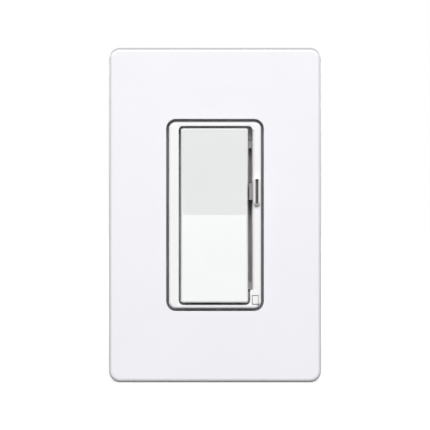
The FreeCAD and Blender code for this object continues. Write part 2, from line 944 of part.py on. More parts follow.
def slide_pot_housing():
    """Moulded case, open at the back, with the long slot that the lever runs in."""
    case = pad(pot_width, 2 * pot_half_length, pot_front, pot_back, x=pot_x)
    inside_width = pot_width - 2 * pot_wall
    case = case.cut(pad(inside_width, 2 * pot_inside_half, pot_front + pot_wall, pot_back + 1, x=pot_x))
    slot_half = slider_travel / 2 + blade_length / 2 + pot_end_room
    return case.cut(pad(arm_thickness + 2 * seat, 2 * slot_half, pot_front - 1, pot_back, x=pot_x))


def slide_pot_track():
    """Phenolic strip in the back of the can, with its two raised resistive tracks."""
    width = pot_width - 2 * pot_wall - 2 * slip
    base = pad(width, 2 * (pot_inside_half - slip), track_front + slip, pot_back - seat, x=pot_x)
    track_length = 2 * (pot_inside_half - track_end_inset)
    tracks = []
    for side in (-1, 1):
        x = pot_x + side * wiper_spacing / 2
        tracks.append(pad(wiper_width + seat, track_length, track_front, pot_back - seat, x=x))
    return join([base] + tracks)


def slide_pot_lever():
    """Moulded carriage inside the can, and the blade that reaches the knob's arm."""
    width = pot_width - 2 * pot_wall - 4 * seat
    carriage = pad(width, carriage_length, carriage_front, carriage_back, x=pot_x, z=slider_rest_z)
    blade = pad(
        arm_thickness - seat,
        blade_length,
        pot_front - blade_height,
        carriage_front + seat,
        x=pot_x,
        z=slider_rest_z,
    )
    return join([carriage, blade])


def wiper(x):
    """A bowed spring strip under the carriage that brushes the track."""
    half = carriage_length / 2 - 4 * seat
    rise = track_front - slip - carriage_back
    top = carriage_back
    outer = Part.Arc(
        Vector(x, top, slider_rest_z - half),
        Vector(x, top + rise, slider_rest_z),
        Vector(x, top, slider_rest_z + half),
    )
    inner = Part.Arc(
        Vector(x, top, slider_rest_z + half - 2 * wiper_strip),
        Vector(x, top + rise - wiper_strip, slider_rest_z),
        Vector(x, top, slider_rest_z - half + 2 * wiper_strip),
    )
    edges = [
        outer.toShape(),
        Part.makeLine(outer.EndPoint, inner.StartPoint),
        inner.toShape(),
        Part.makeLine(inner.EndPoint, outer.StartPoint),
    ]
    face = Part.Face(Part.Wire(edges))
    strip = face.extrude(Vector(wiper_width, 0, 0))
    strip.translate(Vector(-wiper_width / 2, 0, 0))
    return strip


# Air-gap service switch

def air_gap_tab():
    """The pull tab: a ribbed head in the bezel face on a stem that carries the bridge."""
    head_front = bezel_face - tab_proud
    body = pad(tab_width, tab_height, head_front, bridge_depth, x=tab_x, z=tab_z)
    body = chamfer_face(body, head_front, tab_width / 8)
    grip_z = tab_z - tab_height / 2
    undercut = [
        (bezel_face - tab_proud / 5, grip_z - 1),
        (bezel_face - tab_proud / 5, grip_z + tab_height / 5),
        (bezel_face + tab_height / 3, grip_z - 1),
    ]
    return body.cut(profile_yz(undercut, tab_x - tab_width, tab_x + tab_width))


def air_gap_bridge():
    """Sprung brass strip across the stem's end that closes the line contact."""
    x1 = tab_x + tab_width / 2
    return pad(
        bridge_width,
        tab_height,
        bridge_depth,
        bridge_depth + bridge_thickness,
        x=x1 - bridge_width / 2,
        z=tab_z + tab_height / 2,
    )


def air_gap_contacts():
    """Two posts on the power board under the bridge's ends."""
    posts = []
    centre = tab_x + tab_width / 2 - bridge_width / 2
    reach = bridge_width / 2 - contact_radius - seat
    front = bridge_depth + bridge_thickness + slip
    z = tab_z + tab_height
    for side in (-1, 1):
        x = centre + side * reach
        button = small_pin(contact_radius, front, front + contact_radius, x, z)
        stalk = pad(contact_radius, contact_radius, front + contact_radius / 2, power_board_front, x=x, z=z)
        posts.append(join([button, stalk]))
    return Part.makeCompound(posts)


# Rear housing and terminals

def seat_ribs():
    """Stepped ribs on the side walls that the two boards rest on."""
    ribs = []
    for side in (-1, 1):
        wall = side * (housing_inside_x + seat)
        deep = (power_board_right if side > 0 else power_board_left) - side * rib_reach
        shallow = side * (housing_inside_x - rib_reach)
        for z in (-1, 0, 1):
            middle = z * (power_board_height / 2 - rib_width)
            z0, z1 = middle - rib_width / 2, middle + rib_width / 2
            near, far = sorted((wall, shallow))
            if not (side < 0 and z == 0):
                ribs.append(block(near, far, control_board_back, housing_floor, z0, z1))
            near, far = sorted((wall, deep))
            ribs.append(block(near, far, power_board_back, housing_floor, z0, z1))
    return ribs


def rear_housing():
    body = pad(housing_width, housing_height, 0, housing_depth, housing_corner)
    body = chamfer_face(body, housing_depth, housing_edge)
    hollow = pad(2 * housing_inside_x, 2 * housing_inside_z, -1, housing_floor)
    body = body.cut(hollow)
    inside = seat_ribs()
    for x, z in boss_places():
        near_x, far_x = sorted((x - math.copysign(boss_half, x), math.copysign(housing_inside_x + seat, x)))
        near_z, far_z = sorted((z - math.copysign(boss_half, z), math.copysign(housing_inside_z + seat, z)))
        inside.append(block(near_x, far_x, 0, housing_floor + seat, near_z, far_z))
    for side in (-1, 1):
        z = side * terminal_z
        half = channel_width / 2 + channel_wall
        wall_x = channel_floor - channel_wall
        front = terminal_front - channel_wall
        inside.append(block(wall_x, housing_inside_x + seat, front, housing_floor + seat, z - half, z + half))
    body = join([body] + inside)
    for side in (-1, 1):
        z = side * terminal_z
        half = channel_width / 2
        channel = block(channel_floor, housing_width, terminal_front, housing_depth + 1, z - half, z + half)
        body = body.cut(channel)
        body = body.cut(small_cross_pin(terminal_screw_radius + loose, *relief_span(), terminal_y(), z))
        body = body.cut(leg_slot(z))
    head_room = housing_screw_head + loose
    for x, z in boss_places():
        body = body.cut(small_pin(housing_screw_radius + seat, -1, housing_depth + 1, x, z))
        near_x, far_x = sorted((x - math.copysign(head_room, x), math.copysign(housing_width, x)))
        near_z, far_z = sorted((z - math.copysign(head_room, z), math.copysign(housing_height, z)))
        body = body.cut(block(near_x, far_x, housing_depth - corner_step, housing_depth + 1, near_z, far_z))
    return body


def housing_screw(x, z):
    """A long cheese-head screw from a step in the housing's corner into the strap."""
    front = housing_depth - corner_step
    back = front + housing_screw_head_height
    head = small_pin(housing_screw_head, front, back, x, z)
    shank = small_pin(housing_screw_radius, yoke_front + seat, front + seat, x, z)
    half = screw_slot_width / 2
    reach = housing_screw_head
    slot = block(x - reach, x + reach, back - screw_slot_width, back + 1, z - half, z + half)
    return join([head, shank]).cut(slot)


def terminal_y():
    """Depth of the terminal screws' axes."""
    return terminal_front + 2 * seat + terminal_plate_length / 2


def relief_span():
    """X range of the blind hole behind a terminal plate for the screw's end."""
    return channel_floor - channel_wall * 2 / 3, channel_floor + 1


def leg_slot(z):
    """The slit through the channel's wall for a terminal plate's leg."""
    half = terminal_leg_width / 2 + seat
    low = terminal_front + terminal_plate_length - terminal_leg + seat
    return block(
        channel_floor - channel_wall - 1,
        channel_floor + 1,
        low,
        low + terminal_leg + 2 * seat,
        z - half,
        z + half,
    )


def terminal_plate_piece(z):
    """Brass plate in the channel, with a leg through the wall to the power board."""
    x0 = channel_floor + slip
    x1 = x0 + terminal_plate
    y0 = terminal_front + 2 * seat
    y1 = y0 + terminal_plate_length
    half = terminal_plate_width / 2
    plate = block(x0, x1, y0, y1, z - half, z + half)
    leg_half = terminal_leg_width / 2
    inner = channel_floor - channel_wall - terminal_leg_reach
    arm = block(inner, x0 + seat, y1 - terminal_leg, y1, z - leg_half, z + leg_half)
    drop_end = inner + terminal_leg
    drop = block(inner, drop_end, y1 - terminal_leg, power_board_front, z - leg_half, z + leg_half)
    body = join([plate, arm, drop])
    return body.cut(small_cross_pin(terminal_screw_radius + slip, x0 - 1, x1 + 1, terminal_y(), z))


def terminal_clamp(z):
    """Loose pressure plate under a terminal screw's head, with a V groove for each wire."""
    x0 = channel_floor + slip + terminal_plate + clamp_gap
    x1 = x0 + clamp_thickness
    y0 = terminal_front + 2 * seat
    half = terminal_plate_width / 2
    clamp = block(x0, x1, y0, y0 + terminal_plate_length, z - half, z + half)
    depth = clamp_thickness / 2
    for side in (-1, 1):
        groove_z = z + side * (half + terminal_screw_radius) / 2
        groove = [
            Vector(x0 - seat, y0 - 1, groove_z - depth - seat),
            Vector(x0 + depth, y0 - 1, groove_z),
            Vector(x0 - seat, y0 - 1, groove_z + depth + seat),
        ]
        clamp = clamp.cut(prism(groove, Vector(0, terminal_plate_length + 2, 0)))
    return clamp.cut(small_cross_pin(terminal_screw_radius + seat, x0 - 1, x1 + 1, terminal_y(), z))


def terminal_screw(z):
    """Brass binding screw, driven from the side of the housing."""
    x0 = channel_floor - channel_wall / 2
    head = channel_floor + slip + terminal_plate + clamp_gap + clamp_thickness + slip
    shank = small_cross_pin(terminal_screw_radius, x0, head + terminal_head_height / 2, terminal_y(), z)
    cap = small_cross_pin(terminal_head_radius, head, head + terminal_head_height, terminal_y(), z)
    body = join([cap, shank])
    half = screw_slot_width / 2
    y = terminal_y()
    reach = terminal_head_radius
    end = head + terminal_head_height
    return body.cut(block(end - terminal_head_height / 2, end + 1, y - half, y + half, z - reach, z + reach))


# Boards and what they carry

def control_board():
    """Board across the housing's front, cut out for the bosses, the transistors and the tab's stem."""
    half_x, half_z = control_board_half_x, control_board_half_z
    front, back = control_board_front, control_board_back
    body = pad(2 * half_x, 2 * half_z, front, back)
    bay = transistor_bay_height / 2
    body = body.cut(block(-half_x - 1, transistor_bay_edge, front - 1, back + 1, -bay, bay))
    corner = boss_half + loose
    for x, z in boss_places():
        near_x, far_x = sorted((x - math.copysign(corner, x), math.copysign(half_x + 1, x)))
        near_z, far_z = sorted((z - math.copysign(corner, z), math.copysign(half_z + 1, z)))
        body = body.cut(block(near_x, far_x, front - 1, back + 1, near_z, far_z))
    stem_left = tab_x - tab_width / 2 - loose
    stem_top = tab_z + tab_height / 2 + loose
    return body.cut(block(stem_left, half_x + 1, front - 1, back + 1, -half_z - 1, stem_top))


def power_board():
    x0, x1 = power_board_left, power_board_right
    return pad(x1 - x0, power_board_height, power_board_front, power_board_back, x=(x0 + x1) / 2)


def insulator_film():
    """Polyester film on the back of the strap, behind the control board."""
    x0 = transistor_bay_edge + film_inset
    x1 = boss_x - boss_half - film_inset
    height = 2 * (housing_inside_z - film_inset)
    body = pad(x1 - x0, height, 0, film_thickness, x=(x0 + x1) / 2)
    for x, z, width, window in strap_windows():
        body = body.cut(pad(width + 2 * seat, window + 2 * seat, -1, 1, x=x, z=z))
    for x, side in hook_places():
        body = body.cut(hook_window(x, side, hook_barb + seat))
    return body


def thermal_pad():
    """Heat-conducting sheet between the transistors and the strap."""
    body = pad(transistor_width + 2 * seat, 2 * transistor_reach, 0, pad_thickness, x=transistor_x)
    return body.cut(small_pin(clamp_screw_radius + seat, -1, 1, transistor_x))


def power_transistor(side):
    """A TO-220 package, its tab towards the clamp screw and its leads bent to the power board."""
    back_of_pad = pad_thickness
    start = side * transistor_start
    middle = side * (transistor_start + transistor_tab)
    end = side * transistor_reach
    x0 = transistor_x - transistor_width / 2
    x1 = x0 + transistor_width
    z0, z1 = sorted((start, middle))
    tab = block(x0, x1, back_of_pad, back_of_pad + transistor_tab_thickness, z0, z1)
    tab = tab.cut(small_pin(transistor_hole, 0, transistor_thickness, transistor_x, (start + middle) / 2))
    z0, z1 = sorted((middle - side * seat, end))
    case = block(x0, x1, back_of_pad, back_of_pad + transistor_thickness, z0, z1)
    pieces = [tab, case]
    lead_y = back_of_pad + transistor_thickness / 2
    for step in (-1, 0, 1):
        x = transistor_x + step * transistor_pitch
        tip = end + side * lead_reach
        z0, z1 = sorted((end - side * seat, tip))
        half = lead_thickness / 2
        pieces.append(block(x - half, x + half, lead_y - half, lead_y + half, z0, z1))
        z0, z1 = sorted((tip - side * lead_thickness, tip))
        pieces.append(block(x - half, x + half, lead_y - half, power_board_front, z0, z1))
    return join(pieces)


def transistor_clamp():
    """Steel bar across both transistors, pulled to the strap by one screw."""
    front = pad_thickness + transistor_thickness
    back = front + clamp_bar_thickness
    bar = pad(clamp_bar_width, clamp_bar_length, front, back, x=transistor_x)
    return bar.cut(small_pin(clamp_screw_radius + seat, front - 1, back + 1, transistor_x))


def clamp_screw():
    head_front = pad_thickness + transistor_thickness + clamp_bar_thickness
    back = head_front + clamp_screw_head_height
    head = small_pin(clamp_screw_head, head_front, back, transistor_x)
    shank = small_pin(clamp_screw_radius, yoke_front + seat, head_front + seat, transistor_x)
    half = screw_slot_width / 2
    reach = clamp_screw_head
    slot = block(transistor_x - reach, transistor_x + reach, back - 2 * half, back + 1, -half, half)
    return join([head, shank]).cut(slot)


def radio_module():
    """Small board with a soldered metal shield can."""
    back = control_board_back
    base_back = back + radio_board
    base = pad(radio_width, radio_height, back, base_back, x=radio_x, z=radio_z)
    width = radio_width - 2 * shield_margin
    height = radio_height - 2 * shield_margin - shield_room
    z = radio_z - shield_room / 2
    return join([base, pad(width, height, base_back, base_back + shield_height, shield_corner, radio_x, z)])


def control_chip():
    """Square chip with a row of leads on each side."""
    back = control_board_back
    pieces = [pad(chip_size, chip_size, back + seat, back + chip_thickness, x=chip_x, z=chip_z)]
    spacing = chip_size / (chip_lead_count + 1)
    lead = spacing / 2
    reach = (chip_size + chip_lead_reach) / 2
    length = chip_lead_reach + 2 * seat
    foot = back + chip_lead_thickness
    for index in range(chip_lead_count):
        offset = (index - (chip_lead_count - 1) / 2) * spacing
        for side in (-1, 1):
            pieces.append(pad(length, lead, back, foot, x=chip_x + side * reach, z=chip_z + offset))
            pieces.append(pad(lead, length, back, foot, x=chip_x + offset, z=chip_z + side * reach))
    return join(pieces)


def status_led():
    return pad(led_width, led_height, led_front, control_board_front, x=led_x, z=led_z)


def light_pipe():
    """Clear rod from the indicator to the thin spot in the bezel's corner."""
    rod = small_pin(pipe_radius, pipe_end, led_front - slip, led_x, led_z)
    collar_width = 2 * (pipe_radius + 2 * seat)
    collar = pad(collar_width, collar_width, yoke_front + slip, led_front - slip, x=led_x, z=led_z)
    return join([rod, collar])


def antenna():
    """Formed strip on the bezel frame's floor, with a leg down to the control board."""
    z = antenna_top - antenna_length / 2
    strip = pad(antenna_width, antenna_length, floor_front - antenna_thickness, floor_front, x=antenna_x, z=z)
    leg = block(
        antenna_x - antenna_width / 2,
        antenna_x + antenna_width / 2,
        floor_front - antenna_thickness,
        control_board_front,
        antenna_top - antenna_width / 2 - antenna_thickness / 2,
        antenna_top - antenna_width / 2 + antenna_thickness / 2,
    )
    return join([strip, leg])


def header_places():
    return [(index - (header_pins - 1) / 2) * header_spacing for index in range(header_pins)]


def board_header():
    """Pin header on the back of the control board."""
    back = control_board_back
    length = header_pins * header_spacing
    base = pad(header_width, length, back, back + header_base, x=header_x)
    tip = power_board_front - socket_height + header_pin_length
    thick = 2 * header_pin_half
    pins = [pad(thick, thick, back + header_base / 2, tip, x=header_x, z=z) for z in header_places()]
    return join([base] + pins)


def board_socket():
    """Matching socket on the power board."""
    length = header_pins * header_spacing
    front = power_board_front - socket_height
    body = pad(header_width, length, front, power_board_front, x=header_x)
    hole = 2 * (header_pin_half + seat)
    for z in header_places():
        body = body.cut(pad(hole, hole, front - 1, front + header_pin_length + seat, x=header_x, z=z))
    return body


def choke_windows(clear):
    """The core's two windows, one each side of its middle leg, grown or shrunk by a clearance."""
    height = choke_height - 2 * choke_leg
    width = (choke_width - choke_middle_leg) / 2 - choke_leg
    middle = choke_middle_leg / 2 + width / 2
    front = choke_front - 1
    back = choke_front + choke_depth + 1
    windows = []
    for side in (-1, 1):
        x = choke_x + side * middle
        windows.append(pad(width - 2 * clear, height - 2 * clear, front, back, x=x, z=choke_z))
    return windows


def choke_core():
    """Ferrite core: an outer frame with a middle leg."""
    front = choke_front + choke_wire
    body = pad(choke_width, choke_height, front, front + choke_core_depth, x=choke_x, z=choke_z)
    for window in choke_windows(0):
        body = body.cut(window)
    return body


def choke_winding():
    """Copper wound round the core's middle leg, bulging out in front of and behind the core."""
    width = choke_width - 2 * choke_leg - 2 * seat
    height = choke_height - 2 * choke_leg - 2 * seat
    back = choke_front + choke_depth
    body = pad(width, height, choke_front, back, x=choke_x, z=choke_z)
    corners = [edge for edge in body.Edges if runs_along(edge, Vector(0, 0, 1))]
    body = body.makeChamfer(choke_winding_corner, corners)
    leg_width = choke_middle_leg + 2 * slip
    leg_front = choke_front + choke_wire - slip
    leg_back = back - choke_wire + slip
    return body.cut(pad(leg_width, height + 2, leg_front, leg_back, x=choke_x, z=choke_z))


def film_capacitor():
    """Boxed capacitor standing on the power board."""
    return pad(
        film_capacitor_width,
        film_capacitor_height,
        power_board_back,
        housing_floor - film_capacitor_room,
        film_capacitor_corner,
        film_capacitor_x,
        film_capacitor_z,
    )


def storage_capacitor():
    """Electrolytic can standing on the power board."""
    top = housing_floor - storage_room
    return small_pin(storage_radius, power_board_back, top, storage_x, storage_z)


def varistor():
    """Surge disc on edge, with its two legs to the board."""
    y = power_board_back + varistor_stand + varistor_radius
    half = varistor_thickness / 2
    pieces = [small_cross_pin(varistor_radius, varistor_x - half, varistor_x + half, y, varistor_z)]
    for side in (-1, 1):
        x = varistor_x + side * half / 2
        z = varistor_z + side * varistor_leg_spacing / 2
        pieces.append(pad(2 * varistor_leg, 2 * varistor_leg, power_board_back, y, x=x, z=z))
    return join(pieces)


def thermal_fuse():
    """Axial cutoff, its two leads bent down to the board."""
    y = power_board_back + fuse_radius + seat
    start = Vector(fuse_x, y, fuse_z - fuse_length / 2)
    pieces = [flat_sided(fuse_radius, start, Vector(0, 0, fuse_length))]
    reach = fuse_length / 2 + fuse_lead_run
    left = fuse_x - fuse_lead
    right = fuse_x + fuse_lead
    pieces.append(block(left, right, y - fuse_lead, y + fuse_lead, fuse_z - reach, fuse_z + reach))
    for z in (fuse_z - reach, fuse_z + reach):
        pieces.append(block(left, right, power_board_back, y + fuse_lead, z - fuse_lead, z + fuse_lead))
    return join(pieces)


def group(pieces):
    return Part.makeCompound(pieces)


def build_all():
    """Every piece under its name."""
    box_z = box_screw_spacing / 2
    plate_z = plate_screw_spacing / 2
    wiper_x = wiper_spacing / 2
    return {
        "wallplate_cover": wallplate_cover(),
        "wallplate_adapter": wallplate_adapter(),
        "adapter_screws": group([adapter_screw(-plate_z), adapter_screw(plate_z)]),
        "box_screws": group([box_screw(-box_z), box_screw(box_z)]),
        "yoke": yoke(),
        "ground_screw": ground_screw(),
        "bezel_frame": bezel_frame(),
        "paddle": paddle(),
        "paddle_axle": paddle_axle(),
        "upper_switch_body": switch_body(switch_z),
        "lower_switch_body": switch_body(-switch_z),
        "upper_switch_plunger": switch_plunger(switch_z),
        "lower_switch_plunger": switch_plunger(-switch_z),
        "slider_knob": slider_knob(),
        "slide_pot_housing": slide_pot_housing(),
        "slide_pot_track": slide_pot_track(),
        "slide_pot_lever": slide_pot_lever(),
        "wiper_contacts": group([wiper(pot_x - wiper_x), wiper(pot_x + wiper_x)]),
        "air_gap_tab": air_gap_tab(),
        "air_gap_bridge": air_gap_bridge(),
        "air_gap_contacts": air_gap_contacts(),
        "rear_housing": rear_housing(),
        "housing_screws": group([housing_screw(x, z) for x, z in boss_places()]),
        "terminal_plates": group([terminal_plate_piece(-terminal_z), terminal_plate_piece(terminal_z)]),
        "terminal_clamps": group([terminal_clamp(-terminal_z), terminal_clamp(terminal_z)]),
        "terminal_screws": group([terminal_screw(-terminal_z), terminal_screw(terminal_z)]),
        "control_board": control_board(),
        "power_board": power_board(),
        "insulator_film": insulator_film(),
        "thermal_pad": thermal_pad(),
        "power_transistors": group([power_transistor(-1), power_transistor(1)]),
        "transistor_clamp": transistor_clamp(),
        "clamp_screw": clamp_screw(),
        "radio_module": radio_module(),
        "control_chip": control_chip(),
        "status_led": status_led(),
        "light_pipe": light_pipe(),
        "antenna": antenna(),
        "board_header": board_header(),
        "board_socket": board_socket(),
        "choke_core": choke_core(),
        "choke_winding": choke_winding(),
        "film_capacitor": film_capacitor(),
        "storage_capacitor": storage_capacitor(),
        "varistor": varistor(),
        "thermal_fuse": thermal_fuse(),
    }


os.makedirs("parts", exist_ok=True)
for name, shape in build_all().items():
    shape.exportStep("parts/" + name + ".step")
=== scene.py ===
import json
import math

import bmesh
import bpy
from mathutils import Euler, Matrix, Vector


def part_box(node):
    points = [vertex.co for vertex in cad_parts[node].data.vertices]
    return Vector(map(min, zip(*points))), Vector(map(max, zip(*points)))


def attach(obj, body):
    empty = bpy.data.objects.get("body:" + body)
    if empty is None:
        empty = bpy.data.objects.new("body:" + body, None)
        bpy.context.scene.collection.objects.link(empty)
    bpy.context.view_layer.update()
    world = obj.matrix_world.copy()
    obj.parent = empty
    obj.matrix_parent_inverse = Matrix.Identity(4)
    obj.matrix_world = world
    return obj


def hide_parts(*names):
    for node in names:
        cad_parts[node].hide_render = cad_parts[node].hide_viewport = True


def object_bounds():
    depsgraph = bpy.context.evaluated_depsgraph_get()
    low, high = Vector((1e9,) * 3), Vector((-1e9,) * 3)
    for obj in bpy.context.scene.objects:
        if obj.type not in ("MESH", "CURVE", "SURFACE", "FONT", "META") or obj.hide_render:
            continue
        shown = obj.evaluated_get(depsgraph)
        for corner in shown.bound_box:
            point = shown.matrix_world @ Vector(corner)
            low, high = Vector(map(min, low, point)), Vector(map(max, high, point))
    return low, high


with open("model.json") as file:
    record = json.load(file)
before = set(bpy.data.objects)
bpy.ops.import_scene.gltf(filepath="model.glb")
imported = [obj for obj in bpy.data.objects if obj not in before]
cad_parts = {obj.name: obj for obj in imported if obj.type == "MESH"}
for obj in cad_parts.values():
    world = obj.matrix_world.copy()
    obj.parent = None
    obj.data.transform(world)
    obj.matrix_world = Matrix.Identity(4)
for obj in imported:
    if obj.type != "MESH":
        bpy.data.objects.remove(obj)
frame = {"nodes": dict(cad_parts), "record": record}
cad_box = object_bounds()

# A paddle dimmer with its screwless wall plate, seen square on as in the photograph.
# Lengths are in metres, and MM turns a size in millimetres into them.

MM = 0.001

# Camera: the plate's height fills this share of the frame
LENS_MM = 110
SENSOR_MM = 36
PLATE_SHARE = 0.78
NEAR_CLIP = 10 * MM

# Floor: its glow rises from the first strength to the second between the two distances
FLOOR_GAP = 0.1 * MM
FLOOR_HALF = 3.0
FLOOR_PATCHES_PER_METRE = 15.0
FLOOR_GLOW = (0.62, 1.0)
FLOOR_REACH = (0.5, 2.0)
FLOOR_BOUNCE = "#707070"

# Light: how much of the white surroundings falls on things, and each lamp's place, side and watts
WORLD_FILL = 0.28
SOFTBOXES = {
    "left_softbox": ((-0.74, -2.72, 1.93), 1.6, 56),
    "right_softbox": ((0.74, -2.72, 1.93), 1.6, 61),
    "left_back_softbox": ((-1.7, 1.7, 0.7), 1.0, 14),
    "right_back_softbox": ((1.7, 1.7, 0.7), 1.0, 14),
}

# Noise seldom leaves this range, so the two ends of a material's change are spread over it
NOISE_LOW = 0.2
NOISE_HIGH = 0.8

# Refractive indices of the plastics
ABS_IOR = 1.53
NYLON_IOR = 1.53
POLYCARBONATE_IOR = 1.58
ACRYLIC_IOR = 1.49

# Dust with painted shade starts where the normal's Z reaches the first value, and covers its full
# share at the second
DUST_SHADE_FROM = 0.25
DUST_SHADE_FULL = 0.7
DUST_SHADE_COVER = 0.7
# Painted shade on the rim starts where the normal's Y falls to the first value, and is full at the
# second
RIM_SHADE_FROM = 0.97
RIM_SHADE_FULL = 0.8
RIM_SHADE_COVER = 0.3

# Thickness of the choke's wire, and the share of it at its sides that gets painted shade
WIRE_MM = 0.5
WIRE_SHADED_SHARE = 0.3
# Spacing of the hole grid that a board's tracks follow
HOLE_GRID_MM = 2.54

# Middle and half size of the knob's thumb groove along X, Y and Z, in mm
KNOB_GROOVE = ((14.8, 0.55), (-10.2, 0.7), (8.3, 4.4))
# The same for its arm, left of the cap
KNOB_ARM = ((12.5, 0.9), (-6.0, 6.0), (8.3, 4.0))

# Corners of a CAD mesh within this gap are one corner, and faces within this angle one face
MERGE_GAP = 0.002 * MM
FLAT_ANGLE = math.radians(0.5)
# A fold that is longer and steeper than this stays crisp on a creased piece
CREASE_LENGTH = 5 * MM
CREASE_ANGLE = math.radians(2)
# Large faces decide the shading next to a rounded edge
LARGE_FACE_WEIGHT = 100

# Screws: how finely heads and shanks are divided, the tip's width, and how steep a crisp fold is
HEAD_SIDES = 48
HEAD_ROWS = 2
DOME_RINGS = 6
SHANK_SIDES = 32
ROWS_PER_THREAD = 8.0
TIP_SHARE = 0.8
CRISP_ANGLE = math.radians(35)

# Turns that point a screw's head, its +Z, to each side
QUARTER = math.pi / 2
FACES_FRONT = (QUARTER, 0, 0)
FACES_BACK = (-QUARTER, 0, 0)
FACES_RIGHT = (0, QUARTER, 0)
FACES_DOWN = (2 * QUARTER, 0, 0)


# Node trees

def linear(code):
    """An sRGB hex colour as the linear values that a shader takes."""
    channels = [int(code[start:start + 2], 16) / 255 for start in (1, 3, 5)]
    levels = [c / 12.92 if c <= 0.04045 else ((c + 0.055) / 1.055) ** 2.4 for c in channels]
    return (*levels, 1.0)


def add(tree, kind, sockets=None, **settings):
    """Adds a node with its settings, and sets its inputs or links them to a node or an output."""
    node = tree.nodes.new(kind)
    for name, value in settings.items():
        setattr(node, name, value)
    for key, value in (sockets or {}).items():
        used = [socket for socket in node.inputs if socket.enabled]
        socket = used[key] if isinstance(key, int) else node.inputs[key]
        if isinstance(value, bpy.types.Node):
            value = [output for output in value.outputs if output.enabled][0]
        if isinstance(value, bpy.types.NodeSocket):
            tree.links.new(value, socket)
        else:
            socket.default_value = value
    return node


def new_material(name):
    """An empty material, with the object coordinates that its patterns read."""
    material = bpy.data.materials.new(name)
    material.use_nodes = True
    tree = material.node_tree
    tree.nodes.clear()
    return material, tree, add(tree, "ShaderNodeTexCoord").outputs["Object"]


def finish(tree, colour, roughness, height, depth_mm, **plain):
    """The surface: its linked colour, roughness and relief, and its plain sockets."""
    sockets = {"Height": height, "Distance": depth_mm * MM, "Strength": 1.0}
    relief = add(tree, "ShaderNodeBump", sockets)
    sockets = {"Base Color": colour, "Roughness": roughness, "Normal": relief}
    sockets.update({key.replace("_", " "): value for key, value in plain.items()})
    shader = add(tree, "ShaderNodeBsdfPrincipled", sockets)
    add(tree, "ShaderNodeOutputMaterial", {"Surface": shader})


def grained(
    name, colours, patch_mm, roughness, grain_mm, depth_mm, stretch=(1, 1, 1), over=(), **plain
):
    """A surface with slow colour patches, a polish that changes over four grains, and a fine
    relief, all drawn out along a stretched axis. Each function in over gives the cover and the
    colour of a layer on it."""
    material, tree, place = new_material(name)
    noises = []
    for size_mm, detail in ((patch_mm, 1.0), (4 * grain_mm, 1.0), (grain_mm, 3.0)):
        scale = tuple(1 / (size_mm * MM * along) for along in stretch)
        scaled = add(tree, "ShaderNodeMapping", {"Vector": place, "Scale": scale})
        sockets = {"Vector": scaled, "Scale": 1.0, "Detail": detail}
        noises.append(add(tree, "ShaderNodeTexNoise", sockets))
    patches, unevenness, grain = noises
    spread = {"From Min": NOISE_LOW, "From Max": NOISE_HIGH}
    share = add(tree, "ShaderNodeMapRange", {"Value": patches} | spread)
    first, second = map(linear, colours)
    colour = add(tree, "ShaderNodeMix", {0: share, 1: first, 2: second}, data_type="RGBA")
    for layer in over:
        cover, tone = layer(tree)
        sockets = {0: cover, 1: colour, 2: linear(tone)}
        colour = add(tree, "ShaderNodeMix", sockets, data_type="RGBA")
    low, high = roughness
    sockets = {"Value": unevenness, "To Min": low, "To Max": high}
    polish = add(tree, "ShaderNodeMapRange", sockets | spread)
    finish(tree, colour, polish, grain, depth_mm, **plain)
    return material


def facing(tree, axis):
    """How far a surface faces along an axis: 1 or -1 where it faces straight along it."""
    normal = add(tree, "ShaderNodeTexCoord").outputs["Normal"]
    return add(tree, "ShaderNodeSeparateXYZ", {"Vector": normal}).outputs[axis]


def dust_and_painted_shade(tree):
    """Dust and painted shade: a grey that settles on edges that look up and darkens those rims,
    while the upright faces stay clean.
    """
    sockets = {"Value": facing(tree, "Z"), "From Min": DUST_SHADE_FROM, "From Max": DUST_SHADE_FULL}
    sockets["To Max"] = DUST_SHADE_COVER
    return add(tree, "ShaderNodeMapRange", sockets), "#939397"


def rim_painted_shade(tree):
    """Painted shade: a faint grey on a plate's rounded rim where it turns away from the front, and
    none on its flat front.
    """
    flat = add(tree, "ShaderNodeMath", {0: facing(tree, "Y")}, operation="ABSOLUTE")
    sockets = {"Value": flat, "From Min": RIM_SHADE_FROM, "From Max": RIM_SHADE_FULL}
    sockets["To Max"] = RIM_SHADE_COVER
    return add(tree, "ShaderNodeMapRange", sockets), "#B0B0B4"


def within(tree, box):
    """1 inside a box given by its middle and half size in mm along X, Y and Z, and 0 outside it."""
    place = add(tree, "ShaderNodeTexCoord").outputs["Object"]
    parts = add(tree, "ShaderNodeSeparateXYZ", {"Vector": place}).outputs
    inside = 1.0
    for axis, (middle, half) in zip("XYZ", box):
        sockets = {0: parts[axis], 1: middle * MM, 2: half * MM}
        near = add(tree, "ShaderNodeMath", sockets, operation="COMPARE")
        inside = add(tree, "ShaderNodeMath", {0: near, 1: inside}, operation="MULTIPLY")
    return inside


def groove_painted_shade(tree):
    """Painted shade: a dark line in and along the thumb groove of the dimming knob."""
    return within(tree, KNOB_GROOVE), "#666263"


def arm_painted_shade(tree):
    """Painted shade: grey on the knob's arm, where it goes down through the slot."""
    return within(tree, KNOB_ARM), "#9A9495"


# Materials

def gloss_white_plastic():
    """ABS from a polished mould: a bright, slightly wavy gloss, with a breath of colour change."""
    return grained(
        "abs_gloss_moulded", ("#F6F6F7", "#F8F8F9"),
        patch_mm=14, roughness=(0.2, 0.25), grain_mm=2.2, depth_mm=0.002,
        over=[dust_and_painted_shade], IOR=ABS_IOR,
    )


def paddle_plastic():
    """The part that hands touch: the frame's gloss ABS, rubbed duller, and greyer for painted shade
    from the well it sits in.
    """
    return grained(
        "abs_gloss_handled_and_shaded", ("#F0F1F1", "#F2F3F3"),
        patch_mm=14, roughness=(0.23, 0.28), grain_mm=2.2, depth_mm=0.002,
        over=[dust_and_painted_shade], IOR=ABS_IOR,
    )


